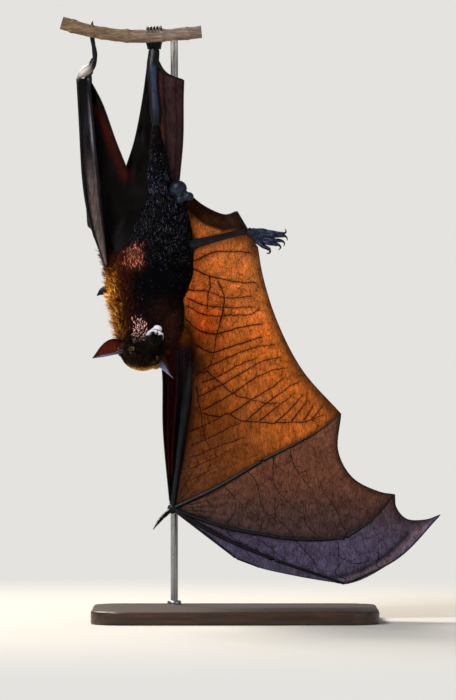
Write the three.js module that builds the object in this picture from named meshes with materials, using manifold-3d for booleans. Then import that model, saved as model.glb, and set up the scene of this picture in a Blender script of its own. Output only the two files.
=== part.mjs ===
// A life-size flying fox (Pteropus vampyrus) hanging from a short cut of branch, on a plain display stand.
// It hangs by its left foot and left thumb, belly to the front, head down and bent forwards. The right wing
// is spread downwards, the left wing is half folded against its forearm.
//
// Millimetres, +Z up, +X to the right as seen from the front, +Y to the back.
// The origin is the centre of the stand base's underside.
import * as THREE from "three";
import { mergeVertices } from "three/addons/utils/BufferGeometryUtils.js";
import Module from "manifold-3d";

const wasm = await Module();
wasm.setup();

// ---------------------------------------------------------------- driving dimensions
const forearm = 192; // every limb bone below is a share of it
const bodyPlane = -30; // Y of the animal's middle plane and of the perch's axis
const gap = 0.35; // clearance between neighbouring pieces
const membraneThickness = 1.0;

const perchRadius = 7.5;
const perchEnds = { left: -208, right: -30 };
const rodRadius = 4.5;
const rodPlace = { x: -74, y: 96 };
const rodBend = 34;
const base = { width: 344, depth: 244, height: 16, corner: 40, chamfer: 2.5, socketDepth: 10 };

// ---------------------------------------------------------------- materials
function finish(color, roughness, metalness = 0) {
  return new THREE.MeshStandardMaterial({ color, roughness, metalness });
}
const blackFur = finish(0x17130f, 0.9);
const mantleFur = finish(0x7a4018, 0.9);
const faceFur = finish(0x1d1512, 0.85);
const bareSkin = finish(0x1b1a20, 0.45);
const armMembrane = finish(0xa85f22, 0.5);
const handMembrane = finish(0x46302c, 0.5);
const foldedMembrane = finish(0x2a2022, 0.5);
const eyeball = finish(0x2a1608, 0.1);
const bark = finish(0x6f6248, 0.9);
const standWood = finish(0x3a2618, 0.5);
const standSteel = finish(0x8c8c8c, 0.35, 1);

// ---------------------------------------------------------------- points and curves
const radians = THREE.MathUtils.degToRad;
const spot = (x, depth, z) => new THREE.Vector3(x, bodyPlane + depth, z);
const mix = (a, b, t) => a.clone().lerp(b, t);
const smoothCurve = (points) => new THREE.CatmullRomCurve3(points, false, "centripetal");

// The end of a bone that leaves `from`: its length as a share of the forearm, its angle in the XZ plane
// (0 is +X, 90 is up) and its tilt to the back, in degrees.
function boneEnd(from, [share, angle, tilt]) {
  const a = radians(angle);
  const b = radians(tilt);
  const direction = new THREE.Vector3(Math.cos(b) * Math.cos(a), Math.sin(b), Math.cos(b) * Math.sin(a));
  return from.clone().addScaledVector(direction, share * forearm);
}

// A finger or limb: the joints of a chain of bones.
function chain(from, bones) {
  const joints = [from];
  for (const bone of bones) joints.push(boneEnd(joints[joints.length - 1], bone));
  return joints;
}

// A smooth list of numbers: value(t) for t in 0 to 1 over evenly spread stations.
function profile(values) {
  return (t) => {
    const at = THREE.MathUtils.clamp(t, 0, 1) * (values.length - 1);
    const i = Math.min(Math.floor(at), values.length - 2);
    const pick = (k) => values[THREE.MathUtils.clamp(k, 0, values.length - 1)];
    const f = at - i;
    const [p0, p1, p2, p3] = [pick(i - 1), pick(i), pick(i + 1), pick(i + 2)];
    const bend = (2 * p0 - 5 * p1 + 4 * p2 - p3) * f * f + (3 * p1 - p0 - 3 * p2 + p3) * f * f * f;
    return p1 + 0.5 * ((p2 - p0) * f + bend);
  };
}

// ---------------------------------------------------------------- solids
// A three.js geometry as a manifold solid, each vertex moved by place(vertex).
function warped(geometry, place) {
  const g = geometry.index ? geometry.toNonIndexed() : geometry.clone();
  g.deleteAttribute("normal");
  g.deleteAttribute("uv");
  const position = g.getAttribute("position");
  const v = new THREE.Vector3();
  for (let i = 0; i < position.count; i++) {
    const moved = place(v.fromBufferAttribute(position, i));
    position.setXYZ(i, moved.x, moved.y, moved.z);
  }
  const merged = mergeVertices(g, 1e-4);
  const index = merged.index.array;
  const faces = [];
  for (let i = 0; i < index.length; i += 3) {
    const [a, b, c] = [index[i], index[i + 1], index[i + 2]];
    if (a !== b && b !== c && a !== c) faces.push(a, b, c);
  }
  const build = (order) =>
    new wasm.Manifold(
      new wasm.Mesh({ numProp: 3, vertProperties: merged.attributes.position.array, triVerts: order }),
    );
  const made = build(new Uint32Array(faces));
  if (made.volume() > 0) return made;
  for (let i = 0; i < faces.length; i += 3) [faces[i + 1], faces[i + 2]] = [faces[i + 2], faces[i + 1]];
  return build(new Uint32Array(faces));
}

const acrossX = new THREE.Vector3(1, 0, 0);

// A round body along a curve. wide(t) and deep(t) are half sizes along `across` and at right angles to it.
function tube({ curve, wide, deep = wide, across = acrossX, sides = 10, steps = 6, grow = 0 }) {
  const cylinder = new THREE.CylinderGeometry(1, 1, 1, sides, steps);
  return warped(cylinder, (p) => {
    const t = p.y + 0.5;
    const along = curve.getTangentAt(t);
    const side = across.clone().addScaledVector(along, -across.dot(along)).normalize();
    const front = new THREE.Vector3().crossVectors(along, side);
    const centre = curve.getPointAt(t).addScaledVector(along, (2 * t - 1) * grow);
    const w = Math.max(wide(t), 0.05) + grow;
    const d = Math.max(deep(t), 0.05) + grow;
    return centre.addScaledVector(side, p.x * w).addScaledVector(front, p.z * d);
  });
}

// A thin sheet over the surface(s, t), s and t in 0 to 1, with its thickness across the surface.
function sheet({ surface, sSteps, tSteps, thickness = membraneThickness }) {
  const box = new THREE.BoxGeometry(1, 1, 1, sSteps, tSteps, 1);
  const h = 1e-3;
  return warped(box, (p) => {
    const s = p.x + 0.5;
    const t = p.y + 0.5;
    const ds = surface(Math.min(s + h, 1), t).sub(surface(Math.max(s - h, 0), t));
    const dt = surface(s, Math.min(t + h, 1)).sub(surface(s, Math.max(t - h, 0)));
    const normal = ds.cross(dt).normalize();
    return surface(s, t).addScaledVector(normal, p.z * thickness);
  });
}

// A patch over four edge curves: low and high run along s, start and end along t. belly(s, t) moves it back.
function patch(low, high, start, end, belly = () => 0) {
  const corners = [low(0), low(1), high(0), high(1)];
  return (s, t) => {
    const p = low(s).multiplyScalar(1 - t).addScaledVector(high(s), t);
    p.addScaledVector(start(t), 1 - s).addScaledVector(end(t), s);
    const weights = [(1 - s) * (1 - t), s * (1 - t), (1 - s) * t, s * t];
    corners.forEach((corner, i) => p.addScaledVector(corner, -weights[i]));
    p.y += belly(s, t);
    return p;
  };
}

// A polyline through points as a function of 0 to 1, evenly by length, rounded unless it is straight.
const edge = (...points) => {
  const curve = points.length > 2 ? smoothCurve(points) : new THREE.LineCurve3(...points);
  return (t) => curve.getPointAt(THREE.MathUtils.clamp(t, 0, 1));
};

// The same as a shape that add() and its cutters take.
const membrane = (surface, sSteps, tSteps) => (grow) =>
  sheet({ surface, sSteps, tSteps, thickness: membraneThickness + 2 * grow });

const wider = (shape) => (grow) => shape(3 * grow);

function largest(solid) {
  const bodies = solid.decompose();
  return bodies.sort((a, b) => b.volume() - a.volume())[0];
}

const animal = new THREE.Group();

// Adds a named mesh. shape(grow) makes its solid, and each of cutters makes a neighbour's solid, which is
// taken away with the clearance. It returns shape, so that later pieces can be cut by this one.
function add(name, material, shape, cutters = []) {
  let solid = shape(0);
  for (const cutter of cutters) solid = solid.subtract(cutter(gap));
  const made = largest(solid).getMesh();
  const g = new THREE.BufferGeometry();
  const vertices = new Float32Array((made.vertProperties.length / made.numProp) * 3);
  for (let i = 0; i < vertices.length / 3; i++) {
    vertices.set(made.vertProperties.subarray(i * made.numProp, i * made.numProp + 3), i * 3);
  }
  g.setAttribute("position", new THREE.BufferAttribute(vertices, 3));
  g.setIndex(new THREE.BufferAttribute(made.triVerts, 1));
  g.computeVertexNormals();
  const mesh = new THREE.Mesh(g, material);
  mesh.name = name;
  animal.add(mesh);
  return shape;
}

// ---------------------------------------------------------------- skeleton
const right = {};
right.shoulder = spot(-84, 6, 377);
right.elbow = boneEnd(right.shoulder, [0.59, -62, 55]);
right.wrist = boneEnd(right.elbow, [0.98, -96.9, -6]);
right.digit2 = chain(right.wrist, [
  [0.514, -37.6, -4.6],
  [0.156, -21.4, -7.7],
]);
right.digit3 = chain(right.wrist, [
  [0.72, -26.5, -4.2],
  [0.476, -18.6, -5],
  [0.745, 36.4, -6.8],
]);
right.digit4 = chain(right.wrist, [
  [0.71, -14.9, -6.4],
  [0.412, 0.2, -5],
  [0.423, 41.7, -12.8],
]);
right.digit5 = chain(right.wrist, [
  [0.654, 28.3, -9.2],
  [0.295, 26.6, -5.1],
  [0.287, 35.1, -10.4],
]);
right.thumb = chain(right.wrist, [
  [0.1, -140, -40],
  [0.14, -130, -62],
  [0.05, -125, -50],
]);
right.hip = spot(-71, 2, 516);
right.knee = boneEnd(right.hip, [0.352, -85.5, -8]);
right.ankle = boneEnd(right.knee, [0.434, 14.2, 8]);
right.calcar = boneEnd(right.ankle, [0.14, 117, 4]);

const left = {};
left.shoulder = spot(-131, 6, 372);
left.elbow = boneEnd(left.shoulder, [0.6, 112.6, 20]);
left.wrist = boneEnd(left.elbow, [1, 91.3, -8]);
left.hip = spot(-90, 4, 512);
left.knee = boneEnd(left.hip, [0.39, 93, -5]);
left.ankle = boneEnd(left.knee, [0.42, 93.8, 6]);
left.calcar = boneEnd(left.ankle, [0.215, -23, 4]);

// ---------------------------------------------------------------- stand and perch
const perchLine = smoothCurve([
  spot(perchEnds.left, 0, 719),
  spot(-172, 0, 709),
  spot(-126, 0, 703),
  spot(-80, 0, 704.5),
  spot(perchEnds.right, 0, 709),
]);
const perchSpot = (x) => perchLine.getPoint((x - perchEnds.left) / (perchEnds.right - perchEnds.left));

function perch(grow) {
  const thickness = profile([1.04, 0.98, 1.03, 0.97, 1]);
  const wide = (t) => perchRadius * thickness(t);
  const across = new THREE.Vector3(0, 1, 0);
  return tube({ curve: perchLine, wide, across, sides: 10, steps: 7, grow });
}

// The rod rises from its socket, turns forwards through a quarter bend and stops at the perch's back.
function rod(grow) {
  const top = perchSpot(rodPlace.x);
  const stations = [new THREE.Vector3(rodPlace.x, rodPlace.y, base.height - base.socketDepth + gap)];
  for (let i = 0; i <= 6; i++) {
    const a = (i / 6) * (Math.PI / 2);
    const forwards = rodBend * (1 - Math.cos(a));
    const upwards = rodBend * (Math.sin(a) - 1);
    stations.push(new THREE.Vector3(rodPlace.x, rodPlace.y - forwards, top.z + upwards));
  }
  stations.push(new THREE.Vector3(rodPlace.x, top.y + perchRadius + 2 * gap, top.z));
  const last = stations.length - 1;
  return warped(new THREE.CylinderGeometry(1, 1, 1, 10, last), (p) => {
    const i = Math.round((p.y + 0.5) * last);
    const along = stations[Math.min(i + 1, last)].clone().sub(stations[Math.max(i - 1, 0)]).normalize();
    const side = new THREE.Vector3(1, 0, 0);
    const front = new THREE.Vector3().crossVectors(along, side);
    const radius = rodRadius + grow;
    return stations[i].clone().addScaledVector(side, p.x * radius).addScaledVector(front, p.z * radius);
  });
}

function standBase() {
  const { width: w, depth: d, corner: r, chamfer: c } = base;
  const outline = new THREE.Shape();
  outline.absarc(w / 2 - r, d / 2 - r, r - c, 0, Math.PI / 2);
  outline.absarc(-w / 2 + r, d / 2 - r, r - c, Math.PI / 2, Math.PI);
  outline.absarc(-w / 2 + r, -d / 2 + r, r - c, Math.PI, 1.5 * Math.PI);
  outline.absarc(w / 2 - r, -d / 2 + r, r - c, 1.5 * Math.PI, 2 * Math.PI);
  const plate = new THREE.ExtrudeGeometry(outline, {
    depth: base.height - 2 * c,
    bevelSize: c,
    bevelThickness: c,
    bevelSegments: 1,
    curveSegments: 3,
  });
  const solid = warped(plate, (p) => p.clone().setZ(p.z + c));
  const hole = new THREE.CylinderGeometry(rodRadius + gap, rodRadius + gap, base.height, 12);
  const lift = base.height * 1.5 - base.socketDepth;
  const place = (p) => new THREE.Vector3(rodPlace.x + p.x, rodPlace.y + p.z, lift + p.y);
  return solid.subtract(warped(hole, place));
}

// ---------------------------------------------------------------- trunk, neck and head
const spine = smoothCurve([
  spot(-85, 4, 534),
  spot(-86, 4, 512),
  spot(-87, 3, 478),
  spot(-93, 2, 440),
  spot(-101, 2, 402),
  spot(-104, 4, 372),
  spot(-104, 6, 352),
]);
function trunk(grow) {
  const wide = profile([9, 26, 36, 42, 45.5, 43, 37, 24]);
  const deep = profile([8, 22, 30, 35, 37, 36, 31, 20]);
  return tube({ curve: spine, wide, deep, sides: 16, steps: 9, grow });
}

// The head's own directions: its nose looks along `face`, its left side and its crown.
const face = new THREE.Vector3(0.31, -0.9, 0.29).normalize();
const headLeft = new THREE.Vector3(-0.92, -0.2, 0.34);
headLeft.addScaledVector(face, -headLeft.dot(face)).normalize();
const crown = new THREE.Vector3().crossVectors(face, headLeft);
const headCentre = spot(-111, -14, 324);
const muzzleTurn = new THREE.Vector3(2.6, 0, 2.9); // how far the snout turns to its right and to the chest
function headSpot(forward, leftward, up) {
  const turned = THREE.MathUtils.smoothstep(forward, 14, 44);
  return headCentre
    .clone()
    .addScaledVector(face, forward)
    .addScaledVector(headLeft, leftward)
    .addScaledVector(crown, up)
    .addScaledVector(muzzleTurn, turned);
}

// Stations of the head from its back to the tip of the nose: forward, half width, half height, rise.
const headStations = [
  [-31, 8, 8, 0],
  [-25, 18, 15, 0],
  [-12, 25, 18.8, 0],
  [2, 25.5, 19, 0],
  [11, 20, 17.2, -1],
  [19, 14.5, 15, -2.5],
  [28, 11, 12.5, -4.5],
  [37, 9.9, 11, -5.5],
  [44, 9.3, 9.5, -6],
  [48, 5.6, 6, -6],
];
function head(grow) {
  const last = headStations.length - 1;
  return warped(new THREE.CylinderGeometry(1, 1, 1, 14, last), (p) => {
    const i = Math.round((p.y + 0.5) * last);
    const [forward, w, h, rise] = headStations[i];
    const end = i === 0 ? -grow : i === last ? grow : 0;
    return headSpot(forward + end, p.x * (w + grow), rise + p.z * (h + grow));
  });
}

function neck(grow) {
  const curve = smoothCurve([spot(-106.5, 6, 368), spot(-108, 8, 344), headSpot(-18, 0, 0)]);
  const wide = profile([41, 38, 21]);
  const deep = profile([30, 28, 16]);
  return tube({ curve, wide, deep, sides: 12, steps: 3, grow });
}

// An ear: a pointed, cupped blade from its root to its tip.
function ear(root, tip, outward, side) {
  const along = tip.clone().sub(root);
  const length = along.length();
  along.normalize();
  const across = outward.clone().addScaledVector(along, -outward.dot(along)).normalize();
  const back = new THREE.Vector3().crossVectors(across, along).multiplyScalar(side);
  const halfWidth = profile([7.5, 9.5, 9, 6.5, 3.2, 0.5]);
  const surface = (s, t) => {
    const reach = 2 * s - 1;
    const w = halfWidth(t);
    const cup = (1 - reach * reach) * w * 0.55;
    return root
      .clone()
      .addScaledVector(along, t * length)
      .addScaledVector(across, reach * w)
      .addScaledVector(back, cup + 2.5 * t * t);
  };
  return () => sheet({ surface, sSteps: 4, tSteps: 5, thickness: 1.3 });
}

function ball(centre, radius, sides = 9, rings = 6) {
  const place = (p) => p.clone().add(centre);
  return (grow) => warped(new THREE.SphereGeometry(radius + grow, sides, rings), place);
}

// ---------------------------------------------------------------- limbs
function limb(points, radii, options = {}) {
  const curve = points.length > 2 ? smoothCurve(points) : new THREE.LineCurve3(...points);
  return (grow) => tube({ curve, wide: profile(radii), sides: 8, steps: 4, grow, ...options });
}

// The middle of a bone that bows sideways.
function bowed(from, to, bow) {
  const along = to.clone().sub(from).normalize();
  const aside = along.cross(new THREE.Vector3(0, 1, 0));
  return mix(from, to, 0.5).addScaledVector(aside, bow);
}

// A finger bone: slim in the middle, thicker at its joints, flat ends. bow lifts its middle sideways.
function fingerBone(from, to, thickness, bow = 0) {
  const curve = smoothCurve([from, bowed(from, to, bow), to]);
  const [start, end] = thickness;
  const radii = [start * 1.15, start * 0.85, (start + end) * 0.4, end * 0.8, end * 1.15];
  return (grow) => tube({ curve, wide: profile(radii), sides: 6, steps: 3, grow });
}

// Five toes that share a foot. toes is a list of point lists, each from the foot to the claw's tip.
function foot(sole, toes, soleRadii = [4.4, 5.6, 6]) {
  return (grow) => {
    let solid = limb(sole, soleRadii, { sides: 9, steps: 2 })(grow);
    for (const toe of toes) {
      const curve = smoothCurve(toe);
      const wide = profile([2.4, 2.3, 2.2, 2.3, 1.5, 0.5]);
      solid = solid.add(tube({ curve, wide, sides: 5, steps: 5, grow }));
    }
    return solid;
  };
}

// A digit that comes up behind the perch and hooks over its top: offset along the perch, start and end angle.
function hookOver(x, thickness, startAngle, endAngle, count = 6) {
  const axis = perchSpot(x);
  const points = [];
  for (let i = 0; i < count; i++) {
    const a = radians(THREE.MathUtils.lerp(startAngle, endAngle, i / (count - 1)));
    const radius = perchRadius + thickness + 0.6 - (i === count - 1 ? 0.9 : 0);
    points.push(new THREE.Vector3(x, axis.y + radius * Math.cos(a), axis.z + radius * Math.sin(a)));
  }
  return points;
}

// ---------------------------------------------------------------- assembly: stand, perch, body
add("stand_base", standWood, standBase);
add("stand_rod", standSteel, rod);
add("perch", bark, perch);
add("neck", mantleFur, neck, [trunk, head]);

const eyeSeat = { forward: 11.5, out: 14.5, up: 5.8, radius: 5.8 };
const eyes = [1, -1].map((side) =>
  ball(headSpot(eyeSeat.forward, side * eyeSeat.out, eyeSeat.up), eyeSeat.radius),
);
add("head", faceFur, head, eyes);
add("eye_left", eyeball, eyes[0]);
add("eye_right", eyeball, eyes[1]);

const earWidth = crown.clone().addScaledVector(face, -0.35);
const leftEar = ear(headSpot(-9, 22, 1), headSpot(-14, 54, 22), earWidth, 1);
const rightEar = ear(headSpot(-8.5, -21, 1.5), headSpot(-12, -50.5, 12), earWidth, -1);
add("ear_left", bareSkin, leftEar, [head, neck]);
add("ear_right", bareSkin, rightEar, [head, neck]);

// ---------------------------------------------------------------- legs
// The right thigh lies along the flank, so the trunk is cut for it.
const rightThigh = add("thigh_right", blackFur, limb([right.hip, right.knee], [13, 17, 15, 10]));
const leftThighSolid = limb([left.hip, left.knee], [18, 16, 12.5, 8.5]);
const leftThigh = add("thigh_left", blackFur, leftThighSolid, [trunk, rightThigh]);
function genitals(grow) {
  const scrotum = ball(spot(-68, -13, 520), 9.9, 8, 5)(grow);
  const sheath = ball(spot(-66, -17, 508), 6.2, 6, 4)(grow);
  return scrotum.add(sheath).add(ball(spot(-57, -17, 511.5), 6.6, 6, 4)(grow));
}
add("genitals", bareSkin, genitals, [trunk, rightThigh, leftThigh]);
add("trunk", blackFur, trunk, [rightThigh]);
const rightShinSolid = limb([right.knee, right.ankle], [7.6, 6, 4.6, 4, 4.4]);
const leftShinSolid = limb([left.knee, left.ankle], [7.2, 6.6, 6.4, 6, 6.2]);
const rightShin = add("shin_right", bareSkin, rightShinSolid, [rightThigh, trunk]);
const leftShin = add("shin_left", bareSkin, leftShinSolid, [leftThigh, trunk]);

// The right foot hangs free: five toes fan out from its end. Each is given by its root's place from the
// ankle (out and down), its direction, its length and how far its claw curls from that direction.
const freeToes = [
  [19, -0.2, -7, 25, 115],
  [20, -4.8, -3, 24.5, -75],
  [18.5, -8.6, -9, 24, -90],
  [16, -11.6, -14, 23, -115],
  [12.8, -13.4, -33, 17, -135],
].map(([out, down, fan, length, curl]) => {
  const step = (from, size, angle, back) => {
    const a = radians(angle);
    return from.clone().addScaledVector(new THREE.Vector3(Math.cos(a), back, Math.sin(a)), size);
  };
  const root = right.ankle.clone().add(new THREE.Vector3(out, -2, down));
  const knuckle = step(root, 0.52 * length, fan - 3, -0.16);
  const end = step(knuckle, 0.5 * length, fan + 3, 0.1);
  const bend = step(end, 3.4, fan + 0.4 * curl, 0.3);
  return [mix(right.ankle, root, 0.5), root, knuckle, end, bend, step(bend, 4.2, fan + curl, 0.2)];
});
const freeSole = [right.ankle, 9, 20].map((out, i) => {
  return i === 0 ? out : right.ankle.clone().add(new THREE.Vector3(out, -1, i === 1 ? -4 : -7.5));
});
const rightFoot = add("foot_right", bareSkin, foot(freeSole, freeToes), [rightShin]);

// The left foot holds the perch: the toes come up behind it and hook over the top.
const grip = spot(-97, 9, 690);
const gripToes = [];
for (let i = 0; i < 5; i++) {
  const x = -105 + 3.9 * i;
  const root = grip.clone().add(new THREE.Vector3((x + 97.2) * 0.7, 0, -2));
  gripToes.push([root, ...hookOver(x, 2.3, -35, 150)]);
}
const heldSole = [left.ankle, mix(left.ankle, grip, 0.5), grip];
const leftFoot = add("foot_left", bareSkin, foot(heldSole, gripToes, [6, 7.2, 6.4]), [leftShin, perch]);

// The heel spurs.
const rightSpur = limb([right.ankle, right.calcar], [2.4, 1.8, 1.1], { sides: 7, steps: 3 });
const rightCalcar = add("calcar_right", bareSkin, rightSpur, [rightShin, rightFoot]);
const leftHeel = left.ankle.clone().add(new THREE.Vector3(2, 0, 8));
const leftSpurMiddle = mix(left.ankle, left.calcar, 0.45).add(new THREE.Vector3(0, 0, -1.5));
const leftSpurPath = [leftHeel, leftSpurMiddle, left.calcar];
const leftSpur = limb(leftSpurPath, [4.6, 2.4, 1.5, 0.9], { sides: 7, steps: 3 });
const leftCalcar = add("calcar_left", bareSkin, leftSpur, [leftShin, leftFoot]);

// ---------------------------------------------------------------- arms
const rightArmSolid = limb([right.shoulder, right.elbow], [13, 11, 8.5, 7.5]);
const rightArm = add("upper_arm_right", blackFur, rightArmSolid, [trunk, neck]);
const leftArmMiddle = mix(left.shoulder, left.elbow, 0.5).add(new THREE.Vector3(7, 0, 4));
const leftArmOnly = limb([left.shoulder, leftArmMiddle, left.elbow], [18, 17, 13, 8, 6.5]);
// The folded fingers' tips stand out behind the left shoulder, as one flat point.
const tipsStations = [spot(-136, 20, 395), spot(-150, 19, 398), spot(-159, 18, 397), spot(-166, 17, 392)];
const tipsPath = smoothCurve(tipsStations);
const tipsWide = profile([5, 7.4, 7.2, 4.6, 0.8]);
const tipsDeep = profile([3, 3, 2.6, 1.8, 0.6]);
function leftArmSolid(grow) {
  const across = new THREE.Vector3(0, 0, 1);
  const tips = tube({ curve: tipsPath, wide: tipsWide, deep: tipsDeep, across, sides: 6, steps: 4, grow });
  return leftArmOnly(grow).add(tips);
}
const leftArm = add("upper_arm_left", mantleFur, leftArmSolid, [trunk, neck]);
const forearmRadii = [7.5, 8.2, 6.6, 5, 4.4, 4.8];
const rightForearmSolid = limb([right.elbow, right.wrist], forearmRadii);
const leftForearmSolid = limb([left.elbow, left.wrist], forearmRadii);
const rightForearm = add("forearm_right", bareSkin, rightForearmSolid, [rightArm]);
const leftForearm = add("forearm_left", bareSkin, leftForearmSolid, [leftArm]);

// Thumbs, each with its claw.
const thumbRadii = [4, 3.2, 2.7, 3.1, 2.2, 0.6];
const rightThumbSolid = limb(right.thumb, thumbRadii, { sides: 8, steps: 6 });
const rightThumb = add("thumb_right", bareSkin, rightThumbSolid, [rightForearm]);
const thumbHook = hookOver(-172, 2.6, -40, 150);
const leftThumbPath = [left.wrist, spot(-166, 12, 675), ...thumbHook];
const leftThumbSolid = limb(leftThumbPath, [4.4, 4.2, 2.9, 2.7, 2.6, 2.2, 0.6], { sides: 7, steps: 11 });
const leftThumb = add("thumb_left", bareSkin, leftThumbSolid, [leftForearm, perch]);

// ---------------------------------------------------------------- the spread right hand
const digits = {
  digit2: { thickness: [2.4, 1.6, 1], bow: [0, 0] },
  digit3: { thickness: [3.2, 2.7, 2, 0.9], bow: [-4, 0, -12] },
  digit4: { thickness: [3, 2.6, 1.9, 0.9], bow: [-5, -2.6, -5] },
  digit5: { thickness: [3.4, 2.6, 1.8, 0.9], bow: [-3, 0, -1.5] },
};
// The points of a whole finger: its joints and the bowed middles between them.
function fingerPoints(digit, bones = 3) {
  const joints = right[digit];
  const points = [joints[0]];
  for (let i = 0; i < bones; i++) {
    const [a, b] = [joints[i], joints[i + 1]];
    points.push(bowed(a, b, digits[digit].bow[i]), b);
  }
  return points;
}
const boneNames = ["metacarpal", "phalanx1", "phalanx2"];
const fingerShapes = {};
const handSolids = [rightForearm, rightThumb];
for (const [digit, { thickness, bow }] of Object.entries(digits)) {
  const joints = right[digit];
  fingerShapes[digit] = [];
  for (let i = 0; i + 1 < joints.length; i++) {
    const shape = fingerBone(joints[i], joints[i + 1], [thickness[i], thickness[i + 1]], bow[i]);
    const before = i === 0 ? handSolids : [fingerShapes[digit][i - 1]];
    add(`${digit}_${boneNames[i]}_right`, bareSkin, shape, before);
    fingerShapes[digit].push(shape);
    if (i === 0) handSolids.push(shape);
  }
}
const allFingers = Object.values(fingerShapes).flat();

// ---------------------------------------------------------------- the folded left hand
const foldLine = [
  spot(-182.5, 12, 656),
  spot(-178, 13, 592),
  spot(-173.5, 19, 530),
  spot(-168, 24, 486),
  spot(-155, 14, 428),
];
const foldWidths = [7.8, 8.8, 10, 10, 7.6, 2.6];
const foldDepths = profile([5, 5, 5.4, 5.4, 4.5, 2.2]);
const leftHandSolid = limb(foldLine, foldWidths, { deep: foldDepths, sides: 10, steps: 7 });
const leftHand = add("hand_left", foldedMembrane, leftHandSolid, [leftForearm, leftThumb, leftArm, trunk]);

// ---------------------------------------------------------------- wing membranes
const armRoot = spot(-70, 23, 371);
const rightArmEdge = edge(armRoot, right.elbow, right.wrist);
const digit5Edge = edge(...fingerPoints("digit5"));
const heel = spot(27, 10, 451);
const belowShin = mix(right.knee, right.ankle, 0.75).add(new THREE.Vector3(0, 2, -2));
const rightFlank = edge(armRoot, spot(-62, 22, 420), spot(-60, 8, 446), belowShin, heel);
const rightTrailing = edge(heel, spot(33, 15, 416), spot(50, 25, 362), spot(81, 37, 302), right.digit5[3]);
const billow = (depth) => (s, t) => depth * Math.sin(Math.PI * s) * Math.sin(Math.PI * t);
const rightPlagio = patch(rightArmEdge, rightTrailing, rightFlank, digit5Edge, billow(9));
// The sheet again, a little thicker and with rounded borders at the arm and the flank, to cut its
// neighbours by.
function rightPlagioCutter(grow) {
  const border = membraneThickness / 2 + 2 * grow;
  const round = (along) => {
    const points = [0, 0.15, 0.3, 0.45, 0.6, 0.8, 1].map((t) => along(t));
    return tube({ curve: smoothCurve(points), wide: () => border, sides: 6, steps: 12 });
  };
  return membrane(rightPlagio, 10, 9)(grow).add(round(rightArmEdge)).add(round(rightFlank));
}
const bodyRight = [trunk, neck, rightThigh, rightShin, rightArm, rightForearm, rightFoot, rightCalcar];
add("membrane_arm_right", armMembrane, membrane(rightPlagio, 10, 9), [
  ...bodyRight,
  ...allFingers,
]);

// The hand's panels run from the wrist outwards between two fingers, and end in a hollow edge between
// their tips.
function panel(fingerA, fingerB, hollow, from) {
  const curveA = edge(...fingerA);
  const curveB = edge(...fingerB);
  const low = (s) => curveA(THREE.MathUtils.lerp(from, 1, s));
  const high = (s) => curveB(THREE.MathUtils.lerp(from, 1, s));
  const start = (t) => mix(low(0), high(0), t);
  const end = edge(low(1), ...hollow, high(1));
  return patch(low, high, start, end, billow(5));
}
const tip5 = right.digit5[3];
const tip4 = right.digit4[3];
const tip3 = right.digit3[3];
const beside = (tip, x, y, z) => tip.clone().add(new THREE.Vector3(x, y, z));
const hollow45 = [beside(tip5, -3.5, -2, -45), beside(tip5, 14, -3, -77), beside(tip4, -18, 2, 3)];
const hollow34 = [beside(tip4, 1.5, 2, -15), beside(tip4, 14, 4, -29.5), beside(tip3, -17, -1, -6)];
const handBones = [...allFingers, rightForearm, rightPlagioCutter];
const [points5, points4, points3] = ["digit5", "digit4", "digit3"].map((digit) => fingerPoints(digit));
const panel45 = membrane(panel(points5, points4, hollow45, 0.1), 9, 3);
const panel34 = membrane(panel(points4, points3, hollow34, 0.14), 9, 2);
add("membrane_4_5_right", handMembrane, panel45, handBones);
add("membrane_3_4_right", handMembrane, panel34, [...handBones, wider(panel45)]);

const leadingTip = right.digit3[2];
const leadingMiddle = mix(right.digit2[2], leadingTip, 0.5).add(new THREE.Vector3(0, 0, -1.5));
const leading = [...fingerPoints("digit2", 2), leadingMiddle, leadingTip];
const innerThird = fingerPoints("digit3", 2);
const leadingEdge = edge(...leading);
const innerThirdEdge = edge(...innerThird);
const alongBoth = (s) => 0.14 + 0.8 * s;
const panel23 = membrane((s, t) => mix(leadingEdge(alongBoth(s)), innerThirdEdge(alongBoth(s)), t), 8, 1);
add("membrane_2_3_right", handMembrane, panel23, [...handBones, wider(panel34)]);

// In front of the right arm: from the neck to the wrist.
const besideWrist = right.wrist.clone().add(new THREE.Vector3(-3, 0, 6));
const frontEdge = edge(spot(-96, 30, 340), spot(-88, 74, 300), spot(-87, 84, 230), besideWrist);
const rightPro = (s, t) => mix(frontEdge(s), rightArmEdge(Math.min(0.18 + 0.82 * s, 1)), t);
add("membrane_front_right", foldedMembrane, membrane(rightPro, 6, 1), [
  trunk,
  neck,
  head,
  rightArm,
  rightForearm,
  ...handSolids,
  rightPlagioCutter,
]);

// Between the right leg, the heel spur and the rump.
const crotch = spot(-58, 6, 517);
const tailRoot = spot(-60, 4, 458);
const rightTail = patch(
  edge(crotch, spot(-41, 8, 502), spot(-20, 10, 491), spot(-10, 10, 489), right.calcar),
  edge(tailRoot, mix(right.knee, right.ankle, 0.5), right.ankle),
  edge(crotch, tailRoot),
  edge(right.calcar, mix(right.calcar, right.ankle, 0.5).add(new THREE.Vector3(-1.5, 0, -1)), right.ankle),
);
add("membrane_tail_right", armMembrane, membrane(rightTail, 6, 3), [
  trunk,
  rightThigh,
  rightShin,
  rightFoot,
  rightCalcar,
  rightPlagioCutter,
]);

// Between the left leg, its heel spur and the rump.
const leftTailFoot = spot(-68, 8, 528);
const leftTail = patch(
  edge(left.ankle, left.knee, left.hip),
  edge(left.calcar, spot(-62, 6, 630), spot(-62.5, 8, 580), leftTailFoot),
  edge(left.ankle, left.calcar),
  edge(left.hip, leftTailFoot),
);
const leftTailShape = add("membrane_tail_left", foldedMembrane, membrane(leftTail, 7, 3), [
  trunk,
  leftThigh,
  leftShin,
  leftFoot,
  leftCalcar,
  rightThigh,
]);

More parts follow.
